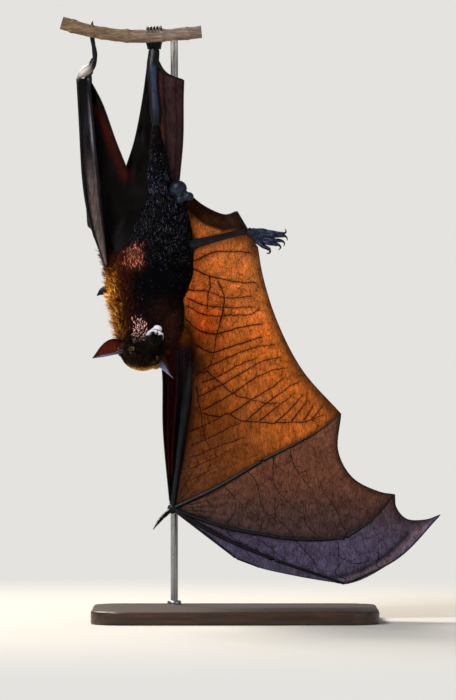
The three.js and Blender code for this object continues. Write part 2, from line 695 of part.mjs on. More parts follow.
// The left arm's membrane hangs in a V between the wrist and the ankle and bellies back between arm and body.
const vPoint = spot(-131, 24, 547);
const leftWristSide = left.wrist.clone().add(new THREE.Vector3(6, 2, -6));
const leftTrailingHalves = [
  edge(leftWristSide, spot(-160, 14, 624), spot(-143, 20, 577), vPoint),
  edge(vPoint, spot(-121, 20, 578), spot(-111, 12, 628), left.ankle),
];
const leftTrailing = (s) => (s < 0.5 ? leftTrailingHalves[0](2 * s) : leftTrailingHalves[1](2 * s - 1));
const leftArmStart = mix(left.elbow, left.shoulder, 0.1);
const leftArmMid = mix(left.elbow, left.shoulder, 0.55);
const leftLower = edge(leftArmStart, leftArmMid, spot(-132, 26, 425));
const leftArmEdge = edge(leftWristSide, left.elbow);
const leftFlank = edge(left.ankle, left.knee, spot(-104, 20, 520), spot(-118, 26, 470), spot(-132, 26, 425));
const leftPlagio = patch(leftTrailing, leftLower, leftArmEdge, leftFlank, billow(16));
add("membrane_arm_left", foldedMembrane, membrane(leftPlagio, 8, 6), [
  leftTailShape,
  trunk,
  leftThigh,
  leftShin,
  leftArm,
  leftForearm,
  leftHand,
  leftFoot,
  leftThumb,
]);

export default animal;
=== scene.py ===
import bpy
import numpy as np
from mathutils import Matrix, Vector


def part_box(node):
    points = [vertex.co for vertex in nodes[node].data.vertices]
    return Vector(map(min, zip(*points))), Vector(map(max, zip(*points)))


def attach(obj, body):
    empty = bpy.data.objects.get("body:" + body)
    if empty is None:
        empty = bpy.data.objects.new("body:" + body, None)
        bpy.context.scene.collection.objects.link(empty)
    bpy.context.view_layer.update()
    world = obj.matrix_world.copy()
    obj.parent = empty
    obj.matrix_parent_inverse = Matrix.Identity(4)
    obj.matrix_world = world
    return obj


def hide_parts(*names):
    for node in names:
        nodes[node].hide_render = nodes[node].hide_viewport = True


# A large flying fox hanging head down from a cut branch on a display stand, life size.
# Shapes are worked out in millimetres in the part's own frame and go into the meshes in metres.
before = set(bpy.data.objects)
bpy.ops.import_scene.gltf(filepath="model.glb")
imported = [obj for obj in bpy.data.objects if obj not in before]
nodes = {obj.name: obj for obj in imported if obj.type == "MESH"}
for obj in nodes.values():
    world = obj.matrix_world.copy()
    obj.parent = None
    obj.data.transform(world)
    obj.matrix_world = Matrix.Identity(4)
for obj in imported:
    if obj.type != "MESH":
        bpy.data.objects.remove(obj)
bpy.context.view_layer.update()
rng = np.random.default_rng(11)
millimetre = 0.001


# The vector, made one long.
def unit(v):
    return v / np.maximum(np.linalg.norm(v, axis=-1, keepdims=True), 1e-9)


# Evenly spread values read at t from 0 to 1, with the Catmull-Rom cubic of the four nearest.
def profile(values, t):
    values = np.asarray(values, float)
    last = len(values) - 1
    at = np.clip(t, 0, 1) * last
    i = np.minimum(at.astype(int), last - 1)
    f = (at - i).reshape((-1,) + (1,) * (values.ndim - 1))
    p0, p1, p2, p3 = (values[np.clip(i + k, 0, last)] for k in (-1, 0, 1, 2))
    bend = (2 * p0 - 5 * p1 + 4 * p2 - p3) * f**2 + (3 * p1 - p0 - 3 * p2 + p3) * f**3
    return p1 + 0.5 * ((p2 - p0) * f + bend)


# A smooth line through points, count samples evenly by length: cubic spans whose knots stand apart by
# the square root of the distance between the points.
def line(points, count=48):
    points = np.asarray(points, float)
    longer = np.concatenate([[2 * points[0] - points[1]], points, [2 * points[-1] - points[-2]]])
    f = np.linspace(0, 1, 40)[:, None]
    spans = []
    for p0, p1, p2, p3 in zip(longer, longer[1:], longer[2:], longer[3:]):
        d0, d1, d2 = (max(np.linalg.norm(b - a) ** 0.5, 1e-6) for a, b in ((p0, p1), (p1, p2), (p2, p3)))
        m1 = ((p1 - p0) / d0 - (p2 - p0) / (d0 + d1) + (p2 - p1) / d1) * d1
        m2 = ((p2 - p1) / d1 - (p3 - p1) / (d1 + d2) + (p3 - p2) / d2) * d1
        spans.append(
            (2 * f**3 - 3 * f**2 + 1) * p1 + (f**3 - 2 * f**2 + f) * m1
            + (3 * f**2 - 2 * f**3) * p2 + (f**3 - f**2) * m2
        )
    fine = np.concatenate(spans)
    length = np.concatenate([[0], np.cumsum(np.linalg.norm(np.diff(fine, axis=0), axis=1))])
    at = np.linspace(0, length[-1], count)
    return np.stack([np.interp(at, length, fine[:, k]) for k in range(3)], axis=1)


# A body carried along a path: rings of half width wide along `across` and half depth deep square to it.
# lobes = (count, share) makes that many ridges round the ring, turn degrees over the whole length.
def sweep(path, wide, deep=None, across=(1, 0, 0), sides=20, lobes=(0, 0), turn=0):
    t = np.linspace(0, 1, len(path))
    along = unit(np.gradient(path, axis=0))
    across = np.asarray(across, float)
    side = unit(across - (along @ across)[:, None] * along)
    front = np.cross(along, side)
    angle = np.linspace(0, 2 * np.pi, sides, endpoint=False)[None]
    w = profile(wide, t)[:, None]
    d = w if deep is None else profile(deep, t)[:, None]
    ridge = 1 + lobes[1] * np.cos(lobes[0] * angle + np.radians(turn) * t[:, None])
    x, y = (w * np.cos(angle) * ridge)[..., None], (d * np.sin(angle) * ridge)[..., None]
    return path[:, None] + x * side[:, None] + y * front[:, None]


# The quads between the rings of a grid, closed round, with a fan of triangles on each end.
def closedTube(grid):
    rings, sides = grid.shape[:2]
    i = np.arange(rings - 1)[:, None] * sides
    j = np.arange(sides)[None]
    k = (j + 1) % sides
    quads = np.stack([i + j, i + k, i + sides + k, i + sides + j], axis=-1).reshape(-1, 4)
    ends = np.stack([grid[0].mean(0), grid[-1].mean(0)])
    first, last, n = np.arange(sides), np.arange(sides) + (rings - 1) * sides, rings * sides
    fans = np.concatenate([
        np.stack([np.roll(first, -1), first, np.full(sides, n)], 1),
        np.stack([last, np.roll(last, -1), np.full(sides, n + 1)], 1),
    ])
    return np.concatenate([grid.reshape(-1, 3), ends]), [quads, fans]


# A sheet's two faces, half its thickness to either side along its normal, sewn together at the border.
def closedSheet(grid, thickness):
    n, m = grid.shape[:2]
    normal = unit(np.cross(np.gradient(grid, axis=0), np.gradient(grid, axis=1)))
    half = thickness / 2
    verts = np.concatenate([(grid - normal * half).reshape(-1, 3), (grid + normal * half).reshape(-1, 3)])
    i, j = np.arange(n - 1)[:, None] * m, np.arange(m - 1)[None]
    under = np.stack([i + j, i + j + 1, i + j + m + 1, i + j + m], -1).reshape(-1, 4)
    over = under[:, ::-1] + n * m
    rim = np.concatenate([np.arange(m - 1), np.arange(n - 1) * m + m - 1,
                          np.arange(m - 1, 0, -1) + (n - 1) * m, np.arange(n - 1, 0, -1) * m])
    nextOne = np.roll(rim, -1)
    wall = np.stack([nextOne, rim, rim + n * m, nextOne + n * m], 1)
    return verts, [under, over, wall]


# A ball, longer or flatter along three given axes.
def ellipsoid(centre, radii, axes=np.eye(3), sides=24, rings=14):
    polar = np.linspace(0.04, np.pi - 0.04, rings)[:, None]
    angle = np.linspace(0, 2 * np.pi, sides, endpoint=False)[None]
    local = np.stack(np.broadcast_arrays(
        np.sin(polar) * np.cos(angle) * radii[0], np.sin(polar) * np.sin(angle) * radii[1],
        np.cos(polar) * radii[2]), -1)
    return closedTube((local @ np.asarray(axes) + centre)[::-1])


# Several shapes as one: vertices one after another, faces moved on by those before.
def together(shapes):
    verts, faces, start = [], [], 0
    for v, f in shapes:
        verts.append(v)
        faces += [np.asarray(part) + start for part in f]
        start += len(v)
    return np.concatenate(verts), faces


# All faces as triangles: a quad is cut from its first corner to its third.
def triangles(faces):
    halves = ([0, 1, 2], [0, 2, 3])
    return np.concatenate([f[:, corners] for f in faces for corners in halves[:f.shape[1] - 2]])


# Vertex normals: each triangle's cross product added to its corners.
def normals(verts, faces):
    tri = triangles(faces)
    a, b, c = (verts[tri[:, k]] for k in range(3))
    n = np.cross(b - a, c - a)
    total = np.stack([np.bincount(tri.ravel(), np.repeat(n[:, k], 3), len(verts)) for k in range(3)], 1)
    return unit(total)


# Each vertex goes a share of the way to the middle of its neighbours, several times.
def relaxed(verts, faces, rounds, share=0.5):
    tri = triangles(faces)
    edges = np.concatenate([tri[:, [0, 1]], tri[:, [1, 2]], tri[:, [2, 0]]])
    edges = np.concatenate([edges, edges[:, ::-1]])
    count = np.maximum(np.bincount(edges[:, 0], minlength=len(verts)), 1)[:, None]
    for _ in range(rounds):
        total = [np.bincount(edges[:, 0], verts[edges[:, 1], k], len(verts)) for k in range(3)]
        middle = np.stack(total, 1) / count
        verts = verts + share * (middle - verts)
    return verts


# A smooth-shaded mesh: vertices in millimetres, faces as whole arrays of three or four corners each.
def meshOf(name, verts, faces):
    mesh = bpy.data.meshes.new(name)
    sizes = np.concatenate([np.full(len(f), f.shape[1]) for f in faces])
    corners = np.concatenate([f.ravel() for f in faces]).astype(np.int32)
    mesh.vertices.add(len(verts))
    mesh.vertices.foreach_set("co", (verts * millimetre).astype(np.float32).ravel())
    mesh.loops.add(len(corners))
    mesh.loops.foreach_set("vertex_index", corners)
    mesh.polygons.add(len(sizes))
    mesh.polygons.foreach_set("loop_start", (np.cumsum(sizes) - sizes).astype(np.int32))
    mesh.polygons.foreach_set("use_smooth", np.ones(len(sizes), bool))
    mesh.update(calc_edges=True)
    return mesh


# A finished piece of the model, with its colours per vertex (linear, and wetness if there is a fourth
# column) and its map per vertex.
def piece(name, shape, material, replaced=(), colours=None, uv=None):
    verts, faces = shape
    mesh = meshOf(name, verts, faces)
    if colours is not None:
        layer = mesh.attributes.new("tint", "FLOAT_COLOR", "POINT")
        if colours.shape[1] == 3:
            colours = np.column_stack([colours, np.zeros(len(verts))])
        layer.data.foreach_set("color", colours.astype(np.float32).ravel())
    if uv is not None:
        layer = mesh.uv_layers.new(name="OFBake")
        corners = np.concatenate([f.ravel() for f in faces])
        layer.data.foreach_set("uv", uv[corners].astype(np.float32).ravel())
    mesh.materials.append(material)
    made = bpy.data.objects.new(name, mesh)
    bpy.context.scene.collection.objects.link(made)
    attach(made, "root")
    if replaced:
        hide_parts(*replaced)
    return made


# The outer surface of overlapping closed shapes, rebuilt as even quads of the given size and relaxed.
def blended(shapes, voxel, rounds):
    mesh = meshOf("blend", *together(shapes))
    made = bpy.data.objects.new("blend", mesh)
    bpy.context.scene.collection.objects.link(made)
    remesh = made.modifiers.new("remesh", "REMESH")
    remesh.mode = "VOXEL"
    remesh.voxel_size = voxel * millimetre
    result = made.evaluated_get(bpy.context.evaluated_depsgraph_get()).to_mesh()
    verts = np.zeros(len(result.vertices) * 3, np.float32)
    result.vertices.foreach_get("co", verts)
    corners = np.zeros(len(result.loops), np.int32)
    result.loops.foreach_get("vertex_index", corners)
    bpy.data.objects.remove(made)
    verts, faces = verts.reshape(-1, 3).astype(float) / millimetre, [corners.reshape(-1, 4)]
    return relaxed(verts, faces, rounds), faces


# Smooth random values in space: a sum of sine waves in random directions, near -1 to 1.
def drift(points, size, seed, waves=9):
    local = np.random.default_rng(seed)
    wave = unit(local.normal(size=(waves, 3))) * local.uniform(0.6, 1.6, (waves, 1)) * 2 * np.pi / size
    return np.sin(points @ wave.T + local.uniform(0, 2 * np.pi, waves)).sum(-1) / waves**0.5 * 0.8


# 0 up to low, 1 from high on, and three t squared less two t cubed between.
def smoothStep(x, low, high):
    t = np.clip((x - low) / (high - low), 0, 1)
    return t * t * (3 - 2 * t)


# A hill 1 high at 0: e to the power of minus (x over the width) raised to the given power.
def hill(x, width, power=2):
    return np.exp(-(x / width) ** power)


# Distance from each point to the nearest of a few others, and which it is, in blocks to spare memory.
def nearest(points, others):
    blocks = np.array_split(points, len(points) // 400 + 1)
    found = [((block[:, None] - others[None]) ** 2).sum(-1) for block in blocks]
    which = np.concatenate([d.argmin(1) for d in found])
    return np.sqrt(np.concatenate([d.min(1) for d in found])), which


# Distance from each point to one place.
def distanceTo(points, place):
    return nearest(points, place[None])[0]


# Linear red, green and blue of an sRGB hex colour: the sRGB curve undone.
def shade(code):
    c = np.array([int(code[i:i + 2], 16) for i in (1, 3, 5)]) / 255
    return np.where(c <= 0.04045, c / 12.92, ((c + 0.055) / 1.055) ** 2.4)


# Named hex colours, all made linear.
def shades(**codes):
    return {name: shade(code) for name, code in codes.items()}


# A colour as a node takes it, from a hex code or from one number for red, green and blue alike.
def paint(tone):
    return (*shade(tone), 1.0) if isinstance(tone, str) else (tone, tone, tone, 1.0)


# Adds one node and gives its output: its properties, its inputs by name or place, each a value or another
# node's output, and the stops of a ramp, each a position and a tone.
def add(tree, kind, inputs, output=0, stops=(), **properties):
    node = tree.nodes.new("ShaderNode" + kind)
    for name, value in properties.items():
        setattr(node, name, value)
    for key, value in inputs.items():
        if isinstance(value, bpy.types.NodeSocket):
            tree.links.new(value, node.inputs[key])
        else:
            node.inputs[key].default_value = value
    for k, (position, tone) in enumerate(stops):
        elements = node.color_ramp.elements
        element = elements.new(position) if 0 < k < len(stops) - 1 else elements[0 if k == 0 else -1]
        element.position, element.color = position, paint(tone)
    return node.outputs[output] if node.outputs else None


# A material whose surface is what the given function builds in its node tree.
def newMaterial(name, surface, *values):
    material = bpy.data.materials.new(name)
    material.use_nodes = True
    tree = material.node_tree
    tree.nodes.clear()
    add(tree, "OutputMaterial", {"Surface": surface(tree, *values)})
    return material


# How many of a length in millimetres fit in a metre, which is a pattern's scale.
def perMetre(length):
    return 1 / (length * millimetre)


# Soft random grains on object coordinates, of the given sizes along x, y and z in millimetres.
def grains(tree, sizes, detail=3.0, rough=0.55):
    place = add(tree, "TexCoord", {}, "Object")
    stretched = add(tree, "Mapping", {"Vector": place, "Scale": [perMetre(size) for size in sizes]})
    return add(tree, "TexNoise", {"Vector": stretched, "Scale": 1.0, "Detail": detail, "Roughness": rough})


# A colour times the tones that a pattern's values pick from the stops.
def toned(tree, colour, pattern, stops):
    tones = add(tree, "ValToRGB", {0: pattern}, stops=stops)
    return add(tree, "Mix", {0: 1.0, 6: colour, 7: tones}, 2, data_type="RGBA", blend_type="MULTIPLY")


# Living wing skin: two thin layers of skin over elastic fibres, so it glows when lit from behind, is matt
# and finely crinkled across the fibres, and its fibres run down the wing. They are drawn 1.6 mm wide, as
# coarse as the folds they lie in, to show at all. Hair-thin blood vessels part it into fields about 12 mm
# across, with wavering borders.
def stretchedSkin(tree, glow, vessels):
    fibres = grains(tree, (1.613, 1.613, 8.333), 5, 0.7)
    mottle = grains(tree, (8.333, 8.333, 11.11), 4)
    crinkle = grains(tree, (1.429, 1.429, 2.381))
    colour = add(tree, "Attribute", {}, attribute_name="tint")
    colour = toned(tree, colour, fibres, [(0.3, "#A58478"), (0.52, 0.98), (0.72, 1.25)])
    colour = toned(tree, colour, mottle, [(0.3, 0.72), (0.7, 1.15)])
    if vessels:
        place = add(tree, "TexCoord", {}, "Object")
        waver = add(tree, "TexNoise", {"Vector": place, "Scale": perMetre(7.692), "Detail": 3.0}, "Color")
        bent = add(tree, "Mix", {0: 0.012, 4: place, 5: waver}, 1, data_type="VECTOR")
        fields = add(tree, "TexVoronoi", {"Vector": bent, "Scale": perMetre(11.76)},
                     feature="DISTANCE_TO_EDGE")
        colour = toned(tree, colour, fields, [(0.0, "#B8968A"), (0.045, 1.0)])
    height = add(tree, "Math", {0: fibres, 1: crinkle}, operation="ADD")
    relief = add(tree, "Bump", {"Height": height, "Strength": 0.55, "Distance": 0.6 * millimetre})
    shader = add(tree, "BsdfPrincipled", {"Base Color": colour, "Roughness": 0.45, "IOR": 1.4,
                                          "Specular IOR Level": 0.14, "Normal": relief})
    if glow:
        through = add(tree, "BsdfTranslucent", {"Color": colour, "Normal": relief})
        shader = add(tree, "MixShader", {0: glow, 1: shader, 2: through})
    return shader


# Bare skin over bone on fingers, feet and snout: black, smooth and a little greasy, with fine creases.
def boneSkin(tree):
    creases = grains(tree, (1.111, 1.111, 1.111), 4, 0.62)
    blotches = grains(tree, (6.25, 6.25, 6.25))
    tint = add(tree, "Attribute", {}, attribute_name="tint")
    colour = toned(tree, tint, blotches, [(0.3, 0.7), (0.7, 1.25)])
    rough = add(tree, "ValToRGB", {0: blotches}, stops=[(0.3, 0.28), (0.7, 0.42)])
    relief = add(tree, "Bump", {"Height": creases, "Strength": 0.5, "Distance": 0.5 * millimetre})
    return add(tree, "BsdfPrincipled", {"Base Color": colour, "Roughness": rough, "IOR": 1.45,
                                        "Specular IOR Level": 0.28, "Normal": relief})


# Skin under the coat, and the shortest hair that lies on it: a dull felt in the coat's own colours, that
# turns to wet bare skin at the snout. Its hairs are drawn 0.8 mm wide and 2 mm long, to show at all.
def feltedSkin(tree):
    hairs = grains(tree, (0.7692, 0.7692, 2), 4, 0.65)
    tint = add(tree, "Attribute", {}, attribute_name="tint")
    colour = toned(tree, tint, hairs, [(0.3, 0.55), (0.7, 1.2)])
    wet = add(tree, "Attribute", {}, "Alpha", attribute_name="tint")
    rough = add(tree, "ValToRGB", {0: wet}, stops=[(0.0, 0.85), (1.0, 0.2)])
    relief = add(tree, "Bump", {"Height": hairs, "Strength": 0.6, "Distance": 0.6 * millimetre})
    return add(tree, "BsdfPrincipled", {"Base Color": colour, "Roughness": rough,
                                        "Specular IOR Level": 0.1, "Normal": relief})


# Hair: keratin with a smooth scale, so each tuft has a soft long gleam and stays dark between. A strand is
# drawn 0.4 mm wide, a few real hairs together.
def hair(tree):
    strands = grains(tree, (0.3846, 0.3846, 1.429), 2)
    tint = add(tree, "Attribute", {}, attribute_name="tint")
    colour = toned(tree, tint, strands, [(0.3, 0.75), (0.7, 1.2)])
    return add(tree, "BsdfPrincipled", {"Base Color": colour, "Roughness": 0.5, "IOR": 1.5,
                                        "Specular IOR Level": 0.04})


# Claw and wet horn: black keratin, polished by use, with growth rings 0.6 mm apart.
def polishedKeratin(tree):
    growth = grains(tree, (1.429, 1.429, 0.5556))
    colour = add(tree, "ValToRGB", {0: growth}, stops=[(0.3, "#0B0A0C"), (0.7, "#221C1A")])
    relief = add(tree, "Bump", {"Height": growth, "Strength": 0.25, "Distance": 0.3 * millimetre})
    return add(tree, "BsdfPrincipled", {"Base Color": colour, "Roughness": 0.38, "IOR": 1.54,
                                        "Specular IOR Level": 0.3, "Normal": relief})


# Bark of a thin tropical branch: grey-brown cork with pale lichen flecks and lengthwise cracks.
def crackedBark(tree):
    cracks = grains(tree, (16.67, 1.786, 1.786), 6, 0.7)
    lichen = grains(tree, (14.29, 8.333, 8.333), 4)
    colour = add(tree, "ValToRGB", {0: cracks}, stops=[(0.32, "#4A3C30"), (0.5, "#7D6C58"), (0.7, "#A09080")])
    colour = toned(tree, colour, lichen, [(0.42, 0.72), (0.62, 1.12)])
    tint = add(tree, "Attribute", {}, attribute_name="tint")
    colour = add(tree, "Mix", {0: 1.0, 6: colour, 7: tint}, 2, data_type="RGBA", blend_type="MULTIPLY")
    height = add(tree, "Math", {0: cracks, 1: lichen}, operation="ADD")
    relief = add(tree, "Bump", {"Height": height, "Strength": 0.9, "Distance": 1.1 * millimetre})
    return add(tree, "BsdfPrincipled", {"Base Color": colour, "Roughness": 0.88, "Normal": relief})


# Stained beech plinth: closed straight grain under a satin varnish.
def varnishedBeech(tree):
    grain = grains(tree, (71.43, 5.263, 5.263), 5, 0.6)
    pores = grains(tree, (6.25, 0.625, 0.625), 2)
    colour = add(tree, "ValToRGB", {0: grain}, stops=[(0.3, "#22140D"), (0.55, "#3D2618"), (0.72, "#553624")])
    colour = toned(tree, colour, pores, [(0.35, 0.7), (0.6, 1.05)])
    relief = add(tree, "Bump", {"Height": pores, "Strength": 0.2, "Distance": 0.2 * millimetre})
    return add(tree, "BsdfPrincipled", {"Base Color": colour, "Roughness": 0.38, "IOR": 1.5,
                                        "Normal": relief})


# Bright-drawn steel bar: drawn lengthwise, so fine lines run along it and its gleam spreads across.
def brightDrawnSteel(tree):
    lines = grains(tree, (0.4167, 0.4167, 16.67))
    colour = add(tree, "ValToRGB", {0: lines}, stops=[(0.3, "#8C8D8F"), (0.7, "#B5B6B8")])
    rough = add(tree, "ValToRGB", {0: lines}, stops=[(0.3, 0.26), (0.7, 0.4)])
    return add(tree, "BsdfPrincipled", {"Base Color": colour, "Metallic": 1.0, "Roughness": rough})


wingSkin = newMaterial("wingSkin", stretchedSkin, 0.44, True)
slackSkin = newMaterial("slackSkin", stretchedSkin, 0.3, False)
pleatedSkin = newMaterial("pleatedSkin", stretchedSkin, 0.0, False)
bareSkin = newMaterial("bareSkin", boneSkin)
underfur = newMaterial("underfur", feltedSkin)
furHair = newMaterial("furHair", hair)
clawKeratin = newMaterial("clawKeratin", polishedKeratin)
branchBark = newMaterial("branchBark", crackedBark)
stainedBeech = newMaterial("stainedBeech", varnishedBeech)
drawnSteel = newMaterial("drawnSteel", brightDrawnSteel)
print("materials ready")

# The skeleton, from the same sizes as the solids.
perchLow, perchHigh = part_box("perch")
planeY = (perchLow.y + perchHigh.y) / 2 / millimetre
forearm = 192


# A place given by x, how far it is behind the perch's middle plane, and z.
def spot(x, depth, z):
    return np.array([x, planeY + depth, z], float)


# A bone's far end: share of the forearm, angle in the plane seen from the front, tilt to the back.
def boneEnd(start, share, angle, tilt):
    a, b = np.radians(angle), np.radians(tilt)
    return start + share * forearm * np.array([np.cos(b) * np.cos(a), np.sin(b), np.cos(b) * np.sin(a)])


# The joints of bones that follow one another.
def chain(start, *bones):
    joints = [start]
    for bone in bones:
        joints.append(boneEnd(joints[-1], *bone))
    return joints


shoulderR = spot(-84, 6, 377)
elbowR = boneEnd(shoulderR, 0.59, -62, 55)
wristR = boneEnd(elbowR, 0.98, -96.9, -6)
digit2 = chain(wristR, (0.514, -37.6, -4.6), (0.156, -21.4, -7.7))
digit3 = chain(wristR, (0.72, -26.5, -4.2), (0.476, -18.6, -5), (0.745, 36.4, -6.8))
digit4 = chain(wristR, (0.71, -14.9, -6.4), (0.412, 0.2, -5), (0.423, 41.7, -12.8))
digit5 = chain(wristR, (0.654, 28.3, -9.2), (0.295, 26.6, -5.1), (0.287, 35.1, -10.4))
thumbR = chain(wristR, (0.1, -140, -40), (0.14, -130, -62), (0.05, -125, -50))
hipR = spot(-71, 2, 516)
kneeR = boneEnd(hipR, 0.352, -85.5, -8)
ankleR = boneEnd(kneeR, 0.434, 14.2, 8)
spurR = boneEnd(ankleR, 0.14, 117, 4)
shoulderL = spot(-131, 6, 372)
elbowL = boneEnd(shoulderL, 0.6, 112.6, 20)
wristL = boneEnd(elbowL, 1, 91.3, -8)
hipL = spot(-90, 4, 512)
kneeL = boneEnd(hipL, 0.39, 93, -5)
ankleL = boneEnd(kneeL, 0.42, 93.8, 6)
spurL = boneEnd(ankleL, 0.215, -23, 4)

# The head's own directions: where the nose looks, its left side and its crown.
face = unit(np.array([0.31, -0.9, 0.29]))
headLeft = np.array([-0.92, -0.2, 0.34])
headLeft = unit(headLeft - headLeft @ face * face)
crown = np.cross(face, headLeft)
headAxes = np.stack([face, headLeft, crown])
headCentre = spot(-111, -14, 324)


# A place in the head's own directions.
def headSpot(forward, left, up):
    return headCentre + np.array([forward, left, up]) @ headAxes


# Body under the coat: overlapping round forms, blended into one surface. Each form has its path, its half
# width and half depth along it, the depth of its coat and which way the hair lies along the path.
trunkValues = dict(
    path=[spot(-85, 4, 534), spot(-86, 4, 512), spot(-86, 3, 478), spot(-91.5, 2, 440),
          spot(-98.5, 2, 402), spot(-101.5, 4, 372), spot(-102.5, 6, 352)],
    wide=[9, 26, 37, 43.5, 48, 45.5, 38.5, 24],
    deep=[8, 22, 30, 35, 37, 36, 31, 20],
    voxel=1.7, rounds=14, unevenness=0.7,
)
trunkPath = line(trunkValues["path"], 60)
neckPath = line([spot(-100, 3, 410), spot(-104, 5, 372), spot(-106, 8, 344), headSpot(-18, 0, 0)], 30)
cheekPathL = line([spot(-126, 4, 400), spot(-129, 3, 372), spot(-129, 1, 348), headSpot(-16, 12, -2)], 30)
cheekPathR = line([spot(-80, 3, 404), spot(-77, 3, 374), spot(-77, 0, 348), headSpot(-16, -12, -4)], 30)
armMiddleL = (shoulderL + elbowL) / 2 + [7, 0, 4]
furredForms = [
    (trunkPath, trunkValues["wide"], trunkValues["deep"], 5.5, -1),
    (neckPath, [30, 39, 36.5, 33.5, 22], [26, 32, 29, 27, 18], 4.5, -1),
    (cheekPathL, [14, 19, 16, 12], None, 4.0, -1),
    (cheekPathR, [17, 19, 15, 11], None, 4.0, -1),
    (line([hipR, kneeR, kneeR * 0.62 + ankleR * 0.38]), [13, 17, 15, 11, 8.5, 7.2], None, 3.6, 1),
    (line([hipL, kneeL, kneeL * 0.6 + ankleL * 0.4]), [18, 16, 13.5, 10.4, 7.4, 5.4], None, 2.4, 1),
    (line([shoulderR, elbowR]), [13, 11, 8.5, 7.5], None, 2.0, 1),
    (line([shoulderL, armMiddleL, elbowL]), [18, 17, 13, 8, 6.5], None, 2.5, 1),
]


# A form's surface less its coat, with rounded ends.
def furredSurface(path, wide, deep, coat):
    t = np.linspace(0, 1, len(path))
    capped = np.sqrt(np.clip(1 - (2 * t - 1) ** 12, 0.02, 1))
    w = (profile(wide, t) - coat) * capped
    d = w if deep is None else (profile(deep, t) - coat) * capped
    return closedTube(sweep(path, np.maximum(w, 1), np.maximum(d, 1), sides=40))


bodyShapes = [furredSurface(*form[:4]) for form in furredForms]
bodyVerts, bodyFaces = blended(bodyShapes, trunkValues["voxel"], trunkValues["rounds"])
uneven = drift(bodyVerts, 26, 3) * trunkValues["unevenness"]
bodyVerts = bodyVerts + normals(bodyVerts, bodyFaces) * uneven[:, None]
print("body", len(bodyVerts))

# Head: skull form with round forms blended on, then eyes, nostrils and lips pressed in. Places are
# forward, left (out to either side for a pair) and up.
headValues = dict(
    forward=[-29, -24, -12, 2, 11, 19, 28, 37, 44, 47],
    wide=[5, 15.5, 22, 22.5, 17.6, 13, 10.6, 9.6, 8.8, 5.2],
    high=[6, 12.5, 16.4, 16.4, 14.6, 12.8, 11, 9.6, 8.4, 5],
    rise=[0, 0, 0.3, 0.3, -0.8, -2, -3.6, -4.2, -4.6, -4.8],
    pairs=[
        ((3, 14.5, -7), (15, 8, 10)),  # jaw muscle
        ((13, 10.5, 9.4), (7.5, 5, 4.0)),  # brow
        ((11.5, 12.8, 5.6), (7.4, 6.2, 6.4)),  # lids
        ((44.4, 5.2, -3.4), (4.6, 4.3, 4.5)),  # nostril rim
        ((34.5, 5.4, -7.2), (12.5, 4.6, 5.2)),  # upper lip
        ((-7, 20.5, 2), (8, 6, 7.5)),  # root of the ear
    ],
    singles=[
        ((29, 0, -14.0), (16, 6.6, 4.2)),  # lower jaw
        ((40.5, 0, -15.0), (5.2, 5.4, 3.8)),  # chin
    ],
    eye=dict(forward=11.5, out=14.1, up=6.2, radius=5.6, look=(0.72, 0.66, 0.2), slit=(3.7, 2.9)),
    nostril=dict(forward=47.2, out=5.3, up=-3.4, radius=2.2, depth=4.2),
    mouthUp=-11.2, lips=1.3, groove=1.7, creases=0.5, voxel=0.62, rounds=5,
)
t = np.linspace(0, 1, 56)
headLine = np.stack([profile(headValues["forward"], t), 0 * t, profile(headValues["rise"], t)], 1)
headLine = headLine @ headAxes + headCentre
around = np.linspace(0, 2 * np.pi, 44, endpoint=False)[None]
skull = headLine[:, None] + (profile(headValues["wide"], t)[:, None] * np.cos(around))[..., None] * headLeft \
    + (profile(headValues["high"], t)[:, None] * np.sin(around))[..., None] * crown
headShapes = [closedTube(skull[:, ::-1])]
for side in (1, -1):
    headShapes += [ellipsoid(headSpot(forward, side * out, up), radii, headAxes)
                   for (forward, out, up), radii in headValues["pairs"]]
headShapes += [ellipsoid(headSpot(*place), radii, headAxes) for place, radii in headValues["singles"]]
headVerts, headFaces = blended(headShapes, headValues["voxel"], headValues["rounds"])
muzzleTurn = np.array([2.6, 0, 2.9])  # the snout is turned a little to the animal's right and chest
headVerts = headVerts + np.outer(smoothStep((headVerts - headCentre) @ face, 14, 44), muzzleTurn)


# Head coordinates of points, with the snout set straight again: forward, left, up.
def inHead(points):
    rel = (points - headCentre) @ headAxes.T
    return rel - np.outer(smoothStep(rel[:, 0], 14, 44), headAxes @ muzzleTurn)


eyeCentres, eyeLooks = {}, {}
eye = headValues["eye"]
headNormals = normals(headVerts, headFaces)
for name, side in (("left", 1), ("right", -1)):
    centre = headSpot(eye["forward"], side * eye["out"], eye["up"])
    look = unit(np.array([eye["look"][0], side * eye["look"][1], eye["look"][2]])) @ headAxes
    eyeCentres[name], eyeLooks[name] = centre, look
    slitSide = unit(face - face @ look * look)
    slitUp = np.cross(look, slitSide)
    rel = headVerts - centre
    h, a, b = rel @ look, rel @ slitSide, rel @ slitUp
    rho = np.sqrt((a / eye["slit"][0]) ** 2 + (b / eye["slit"][1]) ** 2)
    near = (h > 0) & (np.linalg.norm(rel, axis=1) < 12)
    ball = np.sqrt(np.maximum(eye["radius"] ** 2 - a**2 - b**2, 0))
    wanted = np.where(rho < 1, ball - 1.6, ball + 0.7)  # under the eyeball in the slit, a lid over it outside
    pull = near * (1 - smoothStep(rho, 1.35, 2.2))
    headVerts = headVerts + look * ((wanted - h) * pull)[:, None]
    lid = 0.6 * hill(rho - 1.25, 0.17) - 0.5 * hill(rho - 1.75, 0.2)
    headVerts = headVerts + headNormals * (near * lid)[:, None]
f, l, u = inHead(headVerts).T
nostril = headValues["nostril"]
